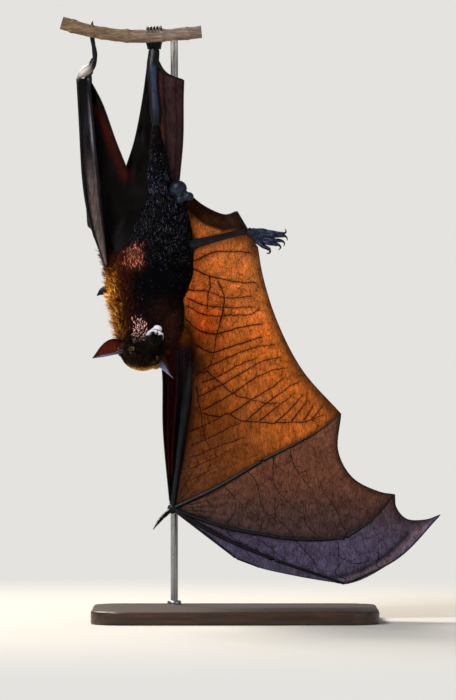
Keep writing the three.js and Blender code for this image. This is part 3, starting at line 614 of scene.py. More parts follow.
for side in (1, -1):  # nostrils open forwards and outwards, with a comma's tail to the back
    inward = unit(face + 0.75 * side * headLeft)
    out, up = l - side * nostril["out"], u - nostril["up"]
    d = np.sqrt((f - nostril["forward"]) ** 2 / 6 + out**2 + (up - 0.2 * side * out) ** 2 * 0.75)
    headVerts = headVerts - inward * (nostril["depth"] * hill(d, nostril["radius"], 3))[:, None]
    headVerts = headVerts + inward * (0.5 * hill(d - 2.5, 0.6) * (f > 42))[:, None]
    tail = hill(up + 0.6, 0.6) * smoothStep(side * l, 5.6, 6.6) * smoothStep(f, 40.5, 42.5)
    headVerts = headVerts - headNormals * (0.7 * tail)[:, None]
groove = hill(l, 0.85) * smoothStep(f, 39, 44) * (u > -11.5)  # between the nostrils
headVerts = headVerts - face * (headValues["groove"] * groove)[:, None]
mouthLine = headValues["mouthUp"] + 0.05 * np.maximum(30 - f, 0) + 0.9 * hill(l, 1.6) * smoothStep(f, 38, 42)
lips = hill(u - mouthLine, 0.7) * smoothStep(f, 8, 16)
headVerts = headVerts - headNormals * (headValues["lips"] * lips)[:, None]
creases = hill(np.abs(l) - 5.4 + 0.05 * (f - 30), 0.8)
creases = creases * smoothStep(f, 24, 32) * smoothStep(-f, -43, -38) * (u > 0)
headVerts = headVerts - headNormals * (headValues["creases"] * creases)[:, None]
print("head", len(headVerts))


# The middle of a bone that is bowed in the front plane.
def bowed(start, end, bow):
    along = unit(end - start)
    return (start + end) / 2 + np.cross(along, [0, 1, 0]) * bow


# A finger bone: thick at the joints, slim between, with rounded knuckles.
def fingerBone(start, end, thickness, bow):
    path = line([start, bowed(start, end, bow), end], 36)
    t = np.linspace(0, 1, len(path))
    a, b = thickness
    shaft = a * 0.8 + (b * 0.8 - a * 0.8) * t
    knuckles = a * 0.42 * hill(t, 0.035) + b * 0.42 * hill(1 - t, 0.035)
    cap = np.sqrt(np.clip(1 - (2 * t - 1) ** 40, 0.04, 1))
    return closedTube(sweep(path, (shaft + knuckles) * cap, sides=12))


# A limb with its own radii along it, and ridges of tendon under the skin.
def limb(points, radii, sides=16, count=48, lobes=(3, 0.06), deep=None, turn=40):
    path = line(points, count)
    t = np.linspace(0, 1, count)
    cap = np.sqrt(np.clip(1 - (2 * t - 1) ** 40, 0.04, 1))
    d = None if deep is None else profile(deep, t) * cap
    return closedTube(sweep(path, profile(radii, t) * cap, d, sides=sides, lobes=lobes, turn=turn))


handValues = {
    "digit2": dict(joints=digit2, thickness=[2.4, 1.6, 1], bow=[0, 0]),
    "digit3": dict(joints=digit3, thickness=[3.2, 2.7, 2, 0.9], bow=[-4, 0, -12]),
    "digit4": dict(joints=digit4, thickness=[3, 2.6, 1.9, 0.9], bow=[-5, -2.6, -5]),
    "digit5": dict(joints=digit5, thickness=[3.4, 2.6, 1.8, 0.9], bow=[-3, 0, -1.5]),
}
bareShapes = []
for values in handValues.values():
    joints, thick, bows = values["joints"], values["thickness"], values["bow"]
    for i, bow in enumerate(bows):
        bareShapes.append(fingerBone(joints[i], joints[i + 1], thick[i:i + 2], bow))
shinRadii = [7.2, 5.6, 4.3, 3.7, 4.2]
forearmRadii = [6.5, 7.6, 6.2, 4.7, 4.1, 4.6]
grip = spot(-97, 9, 690)  # where the left foot's toes part
bareShapes += [
    limb([elbowR, wristR], forearmRadii, lobes=(3, 0.13), turn=70),
    limb([elbowL, wristL], forearmRadii, lobes=(3, 0.13), turn=-70),
    limb([kneeR, ankleR], shinRadii),
    limb([kneeL, (kneeL + ankleL) / 2, ankleL, (ankleL + grip) / 2, grip],
         [2, 5.6, 6.6, 6.4, 6, 6.4, 7.2, 7.0, 6.4], count=110, lobes=(5, 0.05), turn=30),
    limb([ankleR, spurR], [2.2, 1.5, 0.8], sides=10, count=16),
    limb([ankleL + [2, 0, 8], ankleL * 0.55 + spurL * 0.45 + [0, 0, -1.5], spurL],
         [4.6, 2.4, 1.5, 0.9], sides=12, count=24),
    ellipsoid(wristR, (6, 5, 6.5)), ellipsoid(wristL, (6.5, 5, 7)),
]
perchValues = dict(radius=7.5, left=-208, right=-30, swell=[1.04, 0.98, 1.03, 0.97, 1])
perchLine = line([spot(perchValues["left"], 0, 719), spot(-172, 0, 709), spot(-126, 0, 703),
                  spot(-80, 0, 704.5), spot(perchValues["right"], 0, 709)], 90)


# The middle of the perch at a given x.
def perchSpot(x):
    return np.array([np.interp(x, perchLine[:, 0], perchLine[:, k]) for k in range(3)])


# A digit that goes up behind the perch and hooks over its top.
def hookOver(x, thickness, startAngle, endAngle, count=9):
    a = np.radians(np.linspace(startAngle, endAngle, count))
    radius = np.where(np.arange(count) == count - 1, -0.9, 0) + perchValues["radius"] + thickness + 0.8
    return perchSpot(x) + np.stack([0 * a, radius * np.cos(a), radius * np.sin(a)], 1)


# Adds a toe and its claw: the toe has a pad under each joint, the claw is a curved horn, deep and narrow.
def addToe(points, radius, clawShare, count=60):
    path = line(points, count)
    cut = int(count * (1 - clawShare))
    t = np.linspace(0, 1, cut)
    pads = 1 + 0.09 * np.cos(t * 2 * np.pi * 3) ** 3
    width = radius * pads * (1.05 - 0.3 * t) * np.sqrt(np.clip(1 - t**30, 0.1, 1))
    bareShapes.append(closedTube(sweep(path[:cut], width, sides=10)))
    t = np.linspace(0, 1, count - cut + 3)
    horn = (1 - t) ** 0.6 * radius * 0.75 + 0.14
    clawShapes.append(closedTube(sweep(path[cut - 3:], horn * 0.62, horn * 1.05, sides=10)))


# A step of the given length: up by the angle in the plane seen from the front, and to the back by depth.
def stepAt(length, angle, depth):
    return length * np.array([np.cos(np.radians(angle)), depth, np.sin(np.radians(angle))])


footValues = dict(
    toeR=3.2, clawR=0.17,
    toesR=[  # the root's place from the ankle (out, down), direction, length, curl
        (19, -0.2, -7, 25, 115), (20, -4.8, -3, 24.5, -75), (18.5, -8.6, -9, 24, -90),
        (16, -11.6, -14, 23, -115), (12.8, -13.4, -33, 17, -135)],
    toeL=2.35, clawL=0.26, firstL=-105, apartL=3.9, turnL=(-35, 150),
    thumbR=2.9, thumbL=3.0, thumbClaw=0.24,
)
clawShapes = []
bareShapes.append(limb([ankleR, ankleR + [9, -1, -4], ankleR + [20, -1, -7.5]], [4.6, 6.4, 7.2],
                       lobes=(9, 0.07), turn=12, deep=[4.2, 4.4, 3.4]))
for out, down, fan, length, curl in footValues["toesR"]:
    root = ankleR + [out, -2, down]
    knuckle = root + 0.52 * stepAt(length, fan - 3, -0.16)
    end = knuckle + 0.5 * stepAt(length, fan + 3, 0.1)
    bend = end + stepAt(3.4, fan + 0.4 * curl, 0.3)
    tip = bend + stepAt(4.2, fan + curl, 0.2)
    addToe([ankleR * 0.7 + root * 0.3 + [0, -2, 0], root, knuckle, end, bend, tip],
           footValues["toeR"], footValues["clawR"])
for i in range(5):
    hook = hookOver(footValues["firstL"] + footValues["apartL"] * i, 2.3, *footValues["turnL"])
    root = grip + [0.7 * footValues["apartL"] * (i - 2), 0, -2]
    addToe([root, *hook], footValues["toeL"], footValues["clawL"])
carpus = [spot(-189, 10, 653), spot(-182, 11, 660), spot(-173, 12, 667), spot(-168.5, 12, 677)]
bareShapes.append(limb(carpus, [1.8, 4.6, 5.2, 4.4, 3.4], deep=[3, 6, 6, 4.6, 3.4], lobes=(5, 0.12), turn=90))
thumbL = [spot(-173, 12, 666), spot(-168.5, 11, 677), *hookOver(-171.5, 2.6, -40, 150)]
addToe(thumbR, footValues["thumbR"], footValues["thumbClaw"])
addToe(thumbL, footValues["thumbL"], footValues["thumbClaw"])

# The folded left hand: finger bones side by side along the forearm with their skin pleated between.
foldValues = dict(
    path=[spot(-182.5, 12, 653), spot(-178, 13, 592), spot(-173.5, 19, 530), spot(-168, 24, 486),
          spot(-155, 14, 428)],
    wide=[7.6, 8.8, 10, 10, 7.6, 2.2], deep=[3, 3.2, 3.6, 3.8, 3.4, 1.6],
    bones=[-0.86, 0.86], boneRadii=[1.9, 1.6, 1.5, 1.7, 1.3, 0.8],
)
foldPath = line(foldValues["path"], 110)
foldGrid = sweep(foldPath, foldValues["wide"], foldValues["deep"], sides=72, lobes=(9, 0.05), turn=50)
foldShape = closedTube(foldGrid)
t = np.linspace(0, 1, 110)
for share in foldValues["bones"]:
    offset = profile(foldValues["wide"], t)[:, None] * [share, 0, 0]
    front = profile(foldValues["deep"], t)[:, None] * [0, -0.82 * (1 - 0.3 * share**2), 0]
    bareShapes.append(closedTube(sweep(foldPath + offset + front, foldValues["boneRadii"], sides=10)))

# The folded fingers' tips, that stick out towards the chest.
wingTips = line([spot(-136, 20, 395), spot(-150, 19, 398), spot(-159, 18, 397), spot(-166, 17, 392)], 30)
bareShapes.append(closedTube(
    sweep(wingTips, [5, 7.4, 7.2, 4.6, 0.8], [3, 3, 2.6, 1.8, 0.6], across=(0, 0, 1))))

# Scrotum and sheath, as seen at the rump, in one skin.
bareShapes.append(blended([
    ellipsoid(spot(-68, -13, 520), (10.6, 9.4, 9.8), sides=32, rings=24),
    ellipsoid(spot(-65.5, -18, 506.5), (5.4, 5.2, 5.6), sides=24, rings=16),
    ellipsoid(spot(-55.5, -17, 510), (6.4, 5.6, 6), sides=24, rings=16),
    ellipsoid(spot(-66, -6, 512), (10, 8, 9), sides=24, rings=16),
], 0.8, 12))
bareVerts, bareFaces = together(bareShapes)
print("limbs", len(bareVerts))


# Ears: a blade rolled round its length, almost a tube at the root and open at the tip.
earValues = dict(
    wide=[6.5, 9.8, 11.4, 10.8, 8.2, 4.2, 0.5], roll=(120, 38), thickness=0.9,
    left=dict(root=(-9, 20, 2), tip=(-14, 54, 22), openTo=(-0.1, -0.74, 0.66),
              bowTo=(-0.3, 0, 0.95), bow=4.0),
    right=dict(root=(-8, -20, 2), tip=(-12, -50, 11), openTo=(0.92, -0.1, 0.36),
               bowTo=(0.7, 0, 0.7), bow=2.5),
)


# Points of one ear: across the blade s runs over an arc whose half angle opens from the first to the
# second roll, along it t bows to one side; low ribs cross the inside.
def earGrid(root, tip, openTo, bowTo, bow, sides=41, rings=46):
    root, tip, openTo, bowTo = headSpot(*root), headSpot(*tip), np.array(openTo), np.array(bowTo)
    along = unit(tip - root)
    openTo = unit(openTo - openTo @ along * along)
    side = np.cross(along, openTo)
    t = np.linspace(0, 1, rings)[:, None]
    s = np.linspace(-1, 1, sides)[None]
    w = profile(earValues["wide"], t.ravel())[:, None]
    wideRoll, thinRoll = earValues["roll"]
    roll = np.radians(wideRoll * (1 - t) ** 1.6 + thinRoll * (1 - (1 - t) ** 1.6))
    r = w / np.sin(np.minimum(roll, np.pi / 2))
    ribs = 0.15 * np.sin(t * 40) * (1 - s**2) * smoothStep(t, 0.1, 0.3) * (1 - smoothStep(t, 0.75, 0.95))
    x, y = r * np.sin(s * roll), r * (1 - np.cos(s * roll)) - 0.35 * w + ribs - 2.5 * t**2
    middle = root + t * (tip - root) + bow * np.sin(np.pi * t**0.9) * bowTo
    return middle[:, None] + x[..., None] * side + y[..., None] * openTo


earGrids = [earGrid(**earValues[name]) for name in ("left", "right")]
earVerts, earFaces = together([closedSheet(grid, earValues["thickness"]) for grid in earGrids])


# Markings, the same on skin and coat: functions of place on the animal.
coatShades = shades(
    # fleck and fleckGrey are painted glints of light on black tufts.
    belly="#050508", fleck="#8088AC", fleckGrey="#8C7C70", fleckBrown="#573518", back="#0C0807",
    rust="#3E1709", gold="#D68620", paleGold="#F4D088", brown="#4E2A1E", bareArm="#2A140A",
    faceDark="#070504", crownGold="#1A0E07", crownRim="#DCA040", chest="#DC7E60", jaw="#F0B8B0",
    ruff="#B0623E",
)


# Layers of colour on a base: each moves what is below towards its colour by its share for each point.
def painted(base, *layers):
    for colour, share in layers:
        base = base + (colour - base) * share[:, None]
    return base


# Share of the mantle at points: round the neck and shoulders at the back and on the left.
def mantleShare(points):
    x, y, z = points.T
    y = y - planeY
    ragged = drift(points, 14, 5) * 4
    collar = smoothStep(z + ragged, 456, 424) * (1 - smoothStep(-z, -316, -304))
    leftward = smoothStep(-x + ragged, 116, 134) * smoothStep(y, -30, -12)
    return collar * np.maximum(smoothStep(y + ragged * 0.5, 4, 20), leftward)


# Shares of two patches of painted sunlight on the coat: rusty on the left of the chest and pinkish
# under the jaw.
def patches(points):
    x, y, z = points.T
    front = smoothStep(planeY - y, 4, 14)
    return (front * np.exp(-((x + 121.5) / 10.5) ** 4 - ((z - 434) / 13.5) ** 4),
            front * np.exp(-((x + 114.6) / 7) ** 4 - ((z - 350) / 10) ** 4))


# Black body; a rusty mantle, golden at its outer rim on the left, partly its own gold and partly
# painted sunlight, and kept dark beside the face on the right by painted shade; a brown ruff to the
# right of the face, the mantle in painted shade; brownish patches of painted sunlight on the left of
# the chest and under the jaw; painted dark brown shade round the right elbow; and a dark face whose
# golden-brown crown ends in a painted golden rim of light where it hangs lowest.
def markings(points):
    x, y, z = points.T
    y = y - planeY
    ragged = drift(points, 14, 5) * 4
    ruff = hill(x + 80, 17) * smoothStep(z, 316, 326) * smoothStep(-z, -392, -366) * smoothStep(-y, -20, 0)
    mantle = mantleShare(points)
    outwards = smoothStep(-x + ragged + 0.7 * y + 0.14 * np.maximum(396 - z, 0), 132, 148)
    c = painted(
        coatShades["belly"],
        (coatShades["back"], smoothStep(y, 0, 20)),
        # The ruff: the mantle in painted shade.
        (coatShades["brown"] * 0.5, 0.85 * ruff),
        # The rust is kept off beside the face on the right by painted shade.
        (coatShades["rust"], mantle * (1 - 0.8 * smoothStep(x, -84, -70) * smoothStep(-z, -400, -350))),
        # Gold: the mantle's own gold and painted sunlight on its left rim.
        (coatShades["gold"], mantle * outwards * smoothStep(-z + 0.6 * ragged, -430, -384)),
        # Brownish patches of painted sunlight.
        (coatShades["brown"] * 0.9, np.maximum(*patches(points))),
        # Painted dark brown shade round the right elbow.
        (coatShades["bareArm"], hill(distanceTo(points, elbowR), 42, 4)),
    )
    forward, left, up = inHead(points).T
    onHead = smoothStep(forward, -26, -16) * (0.72 * left**2 + up**2 < 24.5**2)
    faceColour = painted(
        coatShades["faceDark"],
        (coatShades["crownGold"], smoothStep(up + ragged * 0.4, 8, 17) * (1 - smoothStep(forward, 6, 20))),
        (coatShades["brown"], smoothStep(np.abs(left), 17, 24) * (1 - smoothStep(forward, 0, 12)) * 0.8),
    )
    # The crown's rim: a painted golden rim of light.
    overRim = z - 304.5 - 0.012 * (x + 111) ** 2
    rim = smoothStep(-overRim, -3.6, -0.8) * smoothStep(-x, 84, 98)
    rim = rim * smoothStep(forward, -30, -24) * (np.abs(left) < 24)
    return painted(c, (faceColour, onHead), (coatShades["crownRim"], rim))


bareShades = shades(
    limb="#08080C", sheen="#0F111C", elbow="#160C0C", wrist="#DAD0CE", shin="#39456A",
    nose="#010101", lip="#F6F2FC", bridge="#101016", lid="#060507",
    earIn="#5E1C09", earOut="#7F88B4", earRim="#0E0E14",
)


# Bare limbs: black with a painted faint sheen in slow random patches, painted dark brown shade at the
# right elbow, a painted slate-blue highlight on the right toes, on the scrotum and along the left shin,
# and a painted pale glare at the left wrist.
def bareColours(points):
    x, _, z = points.T
    toes = smoothStep(x, ankleR[0] + 2, ankleR[0] + 16) * smoothStep(z, 425, 435)
    toes = 0.55 * toes * smoothStep(drift(points, 4, 13), -0.6, 0.5)
    scrotum = hill(distanceTo(points, spot(-62, -14, 514)), 16, 4)
    alongShin = nearest(points, line([kneeL + [4, -9, 8], ankleL + [1.5, -7, -2]], 30))[0]
    return painted(
        bareShades["limb"],
        (bareShades["sheen"], smoothStep(drift(points, 18, 12), -0.2, 0.9)),
        # The elbow colour is painted dark brown shade.
        (bareShades["elbow"], hill(distanceTo(points, elbowR), 40, 4)),
        # Painted bluish highlights on the right toes and the scrotum, then along the left shin.
        (bareShades["shin"], np.maximum(toes, 0.22 * scrotum)),
        (bareShades["shin"], 0.9 * hill(alongShin, 3.2) * smoothStep(z, 594, 622)),
        # A painted pale glare on the left wrist.
        (bareShades["wrist"], 0.9 * hill(distanceTo(points, spot(-183, 6, 662)), 10, 4)),
    )


# The head's skin: the coat's markings, black lids, and the bare snout: dark bridge, black pad round the
# nostrils with a lobe under each, lips and chin painted near white as the glare of light on wet skin,
# with a dark line between, and black holes. The fourth column is how wet the skin is.
def headColours(points):
    c = markings(points)
    forward, left, up = inHead(points).T
    for name in ("left", "right"):
        eye = distanceTo(points, eyeCentres[name] + eyeLooks[name] * 4)
        c = painted(c, (bareShades["lid"], 1 - smoothStep(eye, 4.5, 7.5)))
    bare = smoothStep(forward + 2 * drift(points, 6, 4), 31, 38)
    wing = smoothStep(np.abs(left), 5.6, 7.6) * smoothStep(forward, 38, 41)
    lobed = up + 1.6 * hill(np.abs(left) - 5.4, 2.6) + 0.4 * drift(points, 3, 7)
    pad = smoothStep(forward, 37, 41) * smoothStep(lobed, -4.9, -4.1) * (1 - 0.5 * wing)
    pad = np.maximum(pad, hill(left, 1.5, 4) * smoothStep(forward, 42, 44) * (up > -8))
    mouthLine = headValues["mouthUp"] + 0.05 * np.maximum(30 - forward, 0)
    c = painted(
        c,
        (bareShades["bridge"], bare),
        # The lip colour is a painted near-white glare on the wet lips and chin.
        (bareShades["lip"], bare * smoothStep(-up + 2.0 * wing + 0.3 * drift(points, 3, 6), 3.3, 4.3)),
        (bareShades["nose"], pad),
        (bareShades["lid"], hill(up - mouthLine, 0.6) * bare),
    )
    for side in (1, -1):
        hole = np.sqrt((forward - 46) ** 2 / 6 + (left - side * 5.3) ** 2 + (up + 3.4) ** 2)
        hole = hill(hole, 3.5, 4)
        c, pad = painted(c, (bareShades["lid"] * 0.1, hole)), np.maximum(pad, hole)
    return np.column_stack([c, bare * (1 - pad)])


# Ears: rusty inside, painted light shining through the skin, and darker at root and tip; a painted
# slate-blue glare outside; a dark rim. On the left ear, the first, the lower half of the inside has the
# painted slate-blue glare too.
def earColours():
    c = []
    for grid in earGrids:
        rings, sides = grid.shape[:2]
        over = np.linspace(-1, 1, sides)[None].repeat(rings, 0).ravel()
        t = np.linspace(0, 1, rings)[:, None].repeat(sides, 1).ravel()
        rim = np.maximum(smoothStep(np.abs(over), 0.86, 0.98), smoothStep(t, 0.88, 0.98))
        # lower: the part of the left ear's inside that gets the painted glare.
        lower = smoothStep(-over, 0.12, 0.4) * (1 - smoothStep(t, 0.65, 0.95)) * (len(c) == 0)
        deep = (0.3 + 0.7 * smoothStep(t, 0.0, 0.35)) * (1 - 0.6 * smoothStep(t, 0.55, 0.95))
        inner = painted(bareShades["earIn"], (bareShades["earRim"], rim)) * deep[:, None]
        outer = painted(bareShades["earOut"], (bareShades["earRim"], rim))
        c += [painted(inner, (bareShades["earOut"] * 0.8, lower)),
              outer * (0.35 + 0.65 * smoothStep(t, 0.1, 0.5))[:, None]]
    return np.concatenate(c)


foldShades = shades(dark="#0C090C", mauve="#1E181E", taupe="#736560", streak="#8A8698")


# Skin pleated between the fingers: lengthwise bands of dark and mauve, a painted taupe sheen of light
# over its lower half away from the outer edge, and one painted pale streak of highlight higher up.
def pleatColours(points):
    x, _, z = points.T
    inward = x - np.interp(z, foldPath[::-1, 2], foldPath[::-1, 0])
    taupe = 0.9 * smoothStep(-z, -575, -510) * smoothStep(inward, -5.5, -1.5)
    c = painted(
        foldShades["dark"],
        (foldShades["mauve"], smoothStep(drift(points * [1, 1, 0.1], 6, 21), -0.6, 0.8)),
        # The taupe is a painted sheen of light.
        (foldShades["taupe"], taupe * (0.75 + 0.25 * np.clip(drift(points * [1, 1, 0.05], 4, 22), -1, 1))),
    )
    c = c * (1 - 0.8 * smoothStep(z, 590, 636))[:, None]
    # The pale streak is a painted highlight.
    streak = 0.9 * np.exp(-((inward - 5.6) / 1.7) ** 2 - ((z - 596) / 30) ** 2)
    return painted(c, (foldShades["streak"], streak))


membranes = [name for name in nodes if name.startswith("membrane_")]
kept = {"perch", "stand_base", "stand_rod", "eye_left", "eye_right", *membranes}
skinShape = together([(bodyVerts, bodyFaces), (headVerts, headFaces)])
bodyColours = np.column_stack([markings(bodyVerts), np.zeros(len(bodyVerts))])
skinColours = np.concatenate([bodyColours, headColours(headVerts)])
piece("skin", skinShape, underfur, [name for name in nodes if name not in kept], skinColours)
piece("bareSkin", (bareVerts, bareFaces), bareSkin, (), bareColours(bareVerts))
piece("ears", (earVerts, earFaces), pleatedSkin, (), earColours())
piece("foldedHand", foldShape, pleatedSkin, (), pleatColours(foldShape[0]))
piece("claws", together(clawShapes), clawKeratin)
print("skin ready")


# An eye: amber iris round a black pupil, both told by how far a place is turned from where the eye looks,
# under a clear wet bulge.
def amberEye(tree, centre, look):
    place = add(tree, "TexCoord", {}, "Object")
    rel = add(tree, "VectorMath", {0: place, 1: tuple(centre * millimetre)}, operation="SUBTRACT")
    outwards = add(tree, "VectorMath", {0: rel}, operation="NORMALIZE")
    facing = add(tree, "VectorMath", {0: outwards, 1: tuple(look)}, "Value", operation="DOT_PRODUCT")
    fibres = grains(tree, (0.4, 0.4, 0.4), 4)
    streaks = add(tree, "ValToRGB", {0: fibres}, stops=[(0.35, "#4A2C10"), (0.65, "#B07A30")])
    rings = [(0.0, "#0B0705"), (0.55, "#1C1008"), (0.62, 1), (0.87, 1), (0.885, 0.01)]
    return add(tree, "BsdfPrincipled", {"Base Color": toned(tree, streaks, facing, rings), "Roughness": 0.05,
                                        "IOR": 1.38, "Specular IOR Level": 0.4})


for name in ("left", "right"):
    centre, look = eyeCentres[name], eyeLooks[name]
    verts, faces = ellipsoid(centre, [headValues["eye"]["radius"]] * 3, sides=40, rings=28)
    bulge = 0.55 * smoothStep((verts - centre) @ look, 3.6, 5.6)
    verts = verts + look * bulge[:, None]
    material = newMaterial(f"amberEye_{name}", amberEye, centre, look)
    piece(f"eye_{name}_ball", (verts, faces), material, [f"eye_{name}"])
print("eyes ready")

# Wing membranes.
wingShades = shades(
    orange="#E88A34", lit="#F2A860", deep="#94501F", edge="#30160C", vein="#4A1409", inner="#0B0707",
    rust="#4E1407", panel="#8C5C46", panelDark="#654E4C", panelBlue="#746C8E", lilac="#7A7090",
    panelPale="#A48C94", panelVein="#160E10", mauve="#3C2628", streak="#6E2A1C", pleat="#3A323C",
    hem="#241A1C",
)
edge, inner, deep, mauve, lilac = (wingShades[name] for name in ("edge", "inner", "deep", "mauve", "lilac"))
wingValues = dict(
    thickness=0.6, cover=12, armBelly=9, panelStart=0.025, panelBelly=5, armBellyL=16,
    frontFolds=3.5, frontFoldDepth=2.8, creaseDepth=0.45,
)


# A sheet between four border lines: at each place the mix of the low and high lines plus the mix of the
# start and end lines, less the mix of the four corners. It bellies to the back, most in the middle.
def patch(low, high, start, end, sCount, tCount, belly):
    s, t = np.linspace(0, 1, sCount)[:, None, None], np.linspace(0, 1, tCount)[None, :, None]
    low, high = (line(border, sCount) if len(border) < 40 else border for border in (low, high))
    start, end = line(start, tCount), line(end, tCount)
    sheet = low[:, None] * (1 - t) + high[:, None] * t + start[None] * (1 - s) + end[None] * s
    sheet = sheet - (low[0] * (1 - s) * (1 - t) + low[-1] * s * (1 - t) + high[0] * (1 - s) * t
                     + high[-1] * s * t)
    sheet[..., 1] += (belly * np.sin(np.pi * s) * np.sin(np.pi * t))[..., 0]
    return sheet


# A finger's joints and the middles of its bones between them.
def fingerPoints(name, bones=3):
    values = handValues[name]
    points = [values["joints"][0]]
    for i in range(bones):
        a, b = values["joints"][i:i + 2]
        points += [bowed(a, b, values["bow"][i]), b]
    return points


heel = spot(27, 10, 451)
rootR = spot(-70, 14, 370)


# The line along which the wing skins meet over the right arm: they pass in front of the upper arm and the
# elbow and come down to the middle line of the forearm, which they cover as far as its slim part.
def armRidge(count):
    path = line([rootR, elbowR, wristR], 400)
    along = unit(np.gradient(path, axis=0))
    away = unit([0, -1, 0] - (along @ [0, -1, 0])[:, None] * along)
    length = np.linspace(0, 1, 400) * np.linalg.norm(np.diff(path, axis=0), axis=1).sum()
    atElbow = length[nearest(elbowR[None], path)[1][0]]  # how far the elbow is along the path
    share = smoothStep(length, 4, atElbow * 0.45) * smoothStep(-length, -atElbow - 125, -atElbow - 40)
    before = share * (1 - smoothStep(length, atElbow * 0.6, atElbow * 1.1))
    ridge = path + away * (wingValues["cover"] * share)[:, None] + np.outer(before, [2, -9, 0])
    return ridge[np.linspace(0, 399, count).astype(int)]


armGrid = patch(
    armRidge(190),
    [heel, spot(33, 15, 416), spot(50, 25, 362), spot(81, 37, 302), digit5[3]],
    [rootR, spot(-62, 22, 420), spot(-60, 8, 446), (kneeR + ankleR) / 2 + [0, 2, -1],
     ankleR + [0, 3, -3], heel],
    fingerPoints("digit5"), 190, 170, wingValues["armBelly"])


# The skin between two fingers, from a little past the wrist to their tips, with a hollow rim.
def handPanel(nameA, nameB, hollow, counts):
    a, b = line(fingerPoints(nameA), 400), line(fingerPoints(nameB), 400)
    first = int(400 * wingValues["panelStart"])
    low, high = a[first:], b[first:]
    low, high = (line(curve[::12], counts[0]) for curve in (low, high))
    low[-1], high[-1] = a[-1], b[-1]
    rim = [low[-1], *hollow, high[-1]]
    return patch(low, high, [low[0], high[0]], rim, *counts, wingValues["panelBelly"])


tip5, tip4, tip3 = digit5[3], digit4[3], digit3[3]
hollow45 = [tip5 + [-3.5, -2, -45], tip5 + [14, -3, -77], tip4 + [-18, 2, 3]]
hollow34 = [tip4 + [1.5, 2, -15], tip4 + [14, 4, -29.5], tip3 + [-17, -1, -6]]
panel45 = handPanel("digit5", "digit4", hollow45, (130, 70))
panel34 = handPanel("digit4", "digit3", hollow34, (140, 40))

# The narrow panel before the third finger, to the hand's leading edge.
leadingMiddle = (digit2[2] + digit3[2]) / 2 + [0, 0, -1.5]
leading = line([*fingerPoints("digit2", 2), leadingMiddle, digit3[2]], 100)
inner3 = line(fingerPoints("digit3", 2), 100)
across = np.linspace(0, 1, 16)[None, :, None]
panel23 = leading[3:96, None] * (1 - across) + inner3[3:96, None] * across

# The front skin hangs in folds between its edge, from the neck to the wrist, and the arm.
frontEdge = line([spot(-96, 26, 342), spot(-88, 74, 300), spot(-87, 84, 230), wristR + [-3, 0, 6]], 120)
armLine = armRidge(400)[16:][np.linspace(0, 383, 120).astype(int)]
across = np.linspace(0, 1, 40)[None, :, None]
frontGrid = frontEdge[:, None] * (1 - across) + armLine[:, None] * across
folds = wingValues["frontFoldDepth"] * np.sin(across[..., 0] * np.pi * 2 * wingValues["frontFolds"])
frontGrid[..., 1] += folds * np.sin(np.linspace(0, np.pi, 120))[:, None]

# The tail skins: the right one from the rump along the leg to the heel spur, the left one from the rump
# along the leg to the foot.
crotch = spot(-58, 6, 517)
tailR = patch([crotch, spot(-41, 8, 502), spot(-20, 10, 491), spot(-10, 10, 489), spurR],
              [spot(-62, 3, 450.5), (kneeR + ankleR) / 2, ankleR],
              [crotch, spot(-62, 3, 450.5)],
              [spurR, (spurR + ankleR) / 2, ankleR], 60, 40, 0)
tailFoot = spot(-67, 8, 528)
tailL = patch([ankleL, kneeL, hipL], [spurL, spot(-62, 6, 630), spot(-62.5, 8, 580), tailFoot],
              [ankleL, spurL], [hipL, tailFoot], 90, 36, 0)

# The left arm's skin, half folded: its free border runs from the wrist down to a notch and up to the foot.
wristSideL = wristL + [1, 4, -8]
notch = spot(-131, 24, 547)
footSideL = ankleL + [-4.5, 1, 15]
trailingL = np.concatenate([
    line([wristSideL, spot(-160, 14, 624), spot(-143, 20, 577), notch], 55),
    line([notch, spot(-121, 20, 578), spot(-111, 12, 628), footSideL], 56)[1:],
])
rootL = spot(-126, 24, 425)
armL = patch(trailingL,
             [elbowL * 0.9 + shoulderL * 0.1, elbowL * 0.45 + shoulderL * 0.55, rootL],
             [wristSideL, elbowL],
             [footSideL, ankleL, kneeL + [-1, 4, 0], spot(-98, 12, 520), spot(-110, 18, 470), rootL],
             110, 100, wingValues["armBellyL"])


# Slow waves and folds that fan out from a held point, fading away from it.
def folded(grid, held, folds, depth, reach):
    rel = grid - held
    angle = np.arctan2(rel[..., 2], rel[..., 0])
    far = np.linalg.norm(rel, axis=-1)
    wave = np.sin(angle * folds) * depth * np.exp(-far / reach) * smoothStep(far, 4, 30)
    grid = grid.copy()
    grid[..., 1] += wave
    return grid


# 0 on a sheet's border, 1 inside, from a tenth of its width on.
def rimFade(grid):
    n, m = grid.shape[:2]
    s, t = np.linspace(0, 1, n)[:, None], np.linspace(0, 1, m)[None]
    return smoothStep(np.minimum(np.minimum(s, 1 - s), np.minimum(t, 1 - t)), 0, 0.1)


# A sheet with such folds and slow random waves inside its border.
def softened(grid, held, folds, depth, reach, seed):
    grid = grid.copy()
    moved = folded(grid, held, folds, depth, reach)
    moved[..., 1] += drift(grid.reshape(-1, 3), 34, seed).reshape(grid.shape[:2])
    return grid + (moved - grid) * rimFade(grid)[..., None]


armGrid = softened(armGrid, wristR, 26, 2.0, 60, 31)
crease = drift(armGrid.reshape(-1, 3) * [1, 1, 0.16], 6.5, 38, 14).reshape(armGrid.shape[:2])
armGrid[..., 1] += wingValues["creaseDepth"] * np.abs(crease) ** 0.7 * np.sign(crease) * rimFade(armGrid)
armL = softened(softened(armL, wristSideL, 22, 3.0, 70, 33), footSideL, 30, 2.2, 90, 37)
panel45 = softened(panel45, wristR, 40, 0.9, 70, 34)
panel34 = softened(panel34, wristR, 60, 1.2, 60, 35)
tailL = softened(tailL, ankleL, 40, 0.8, 90, 36)

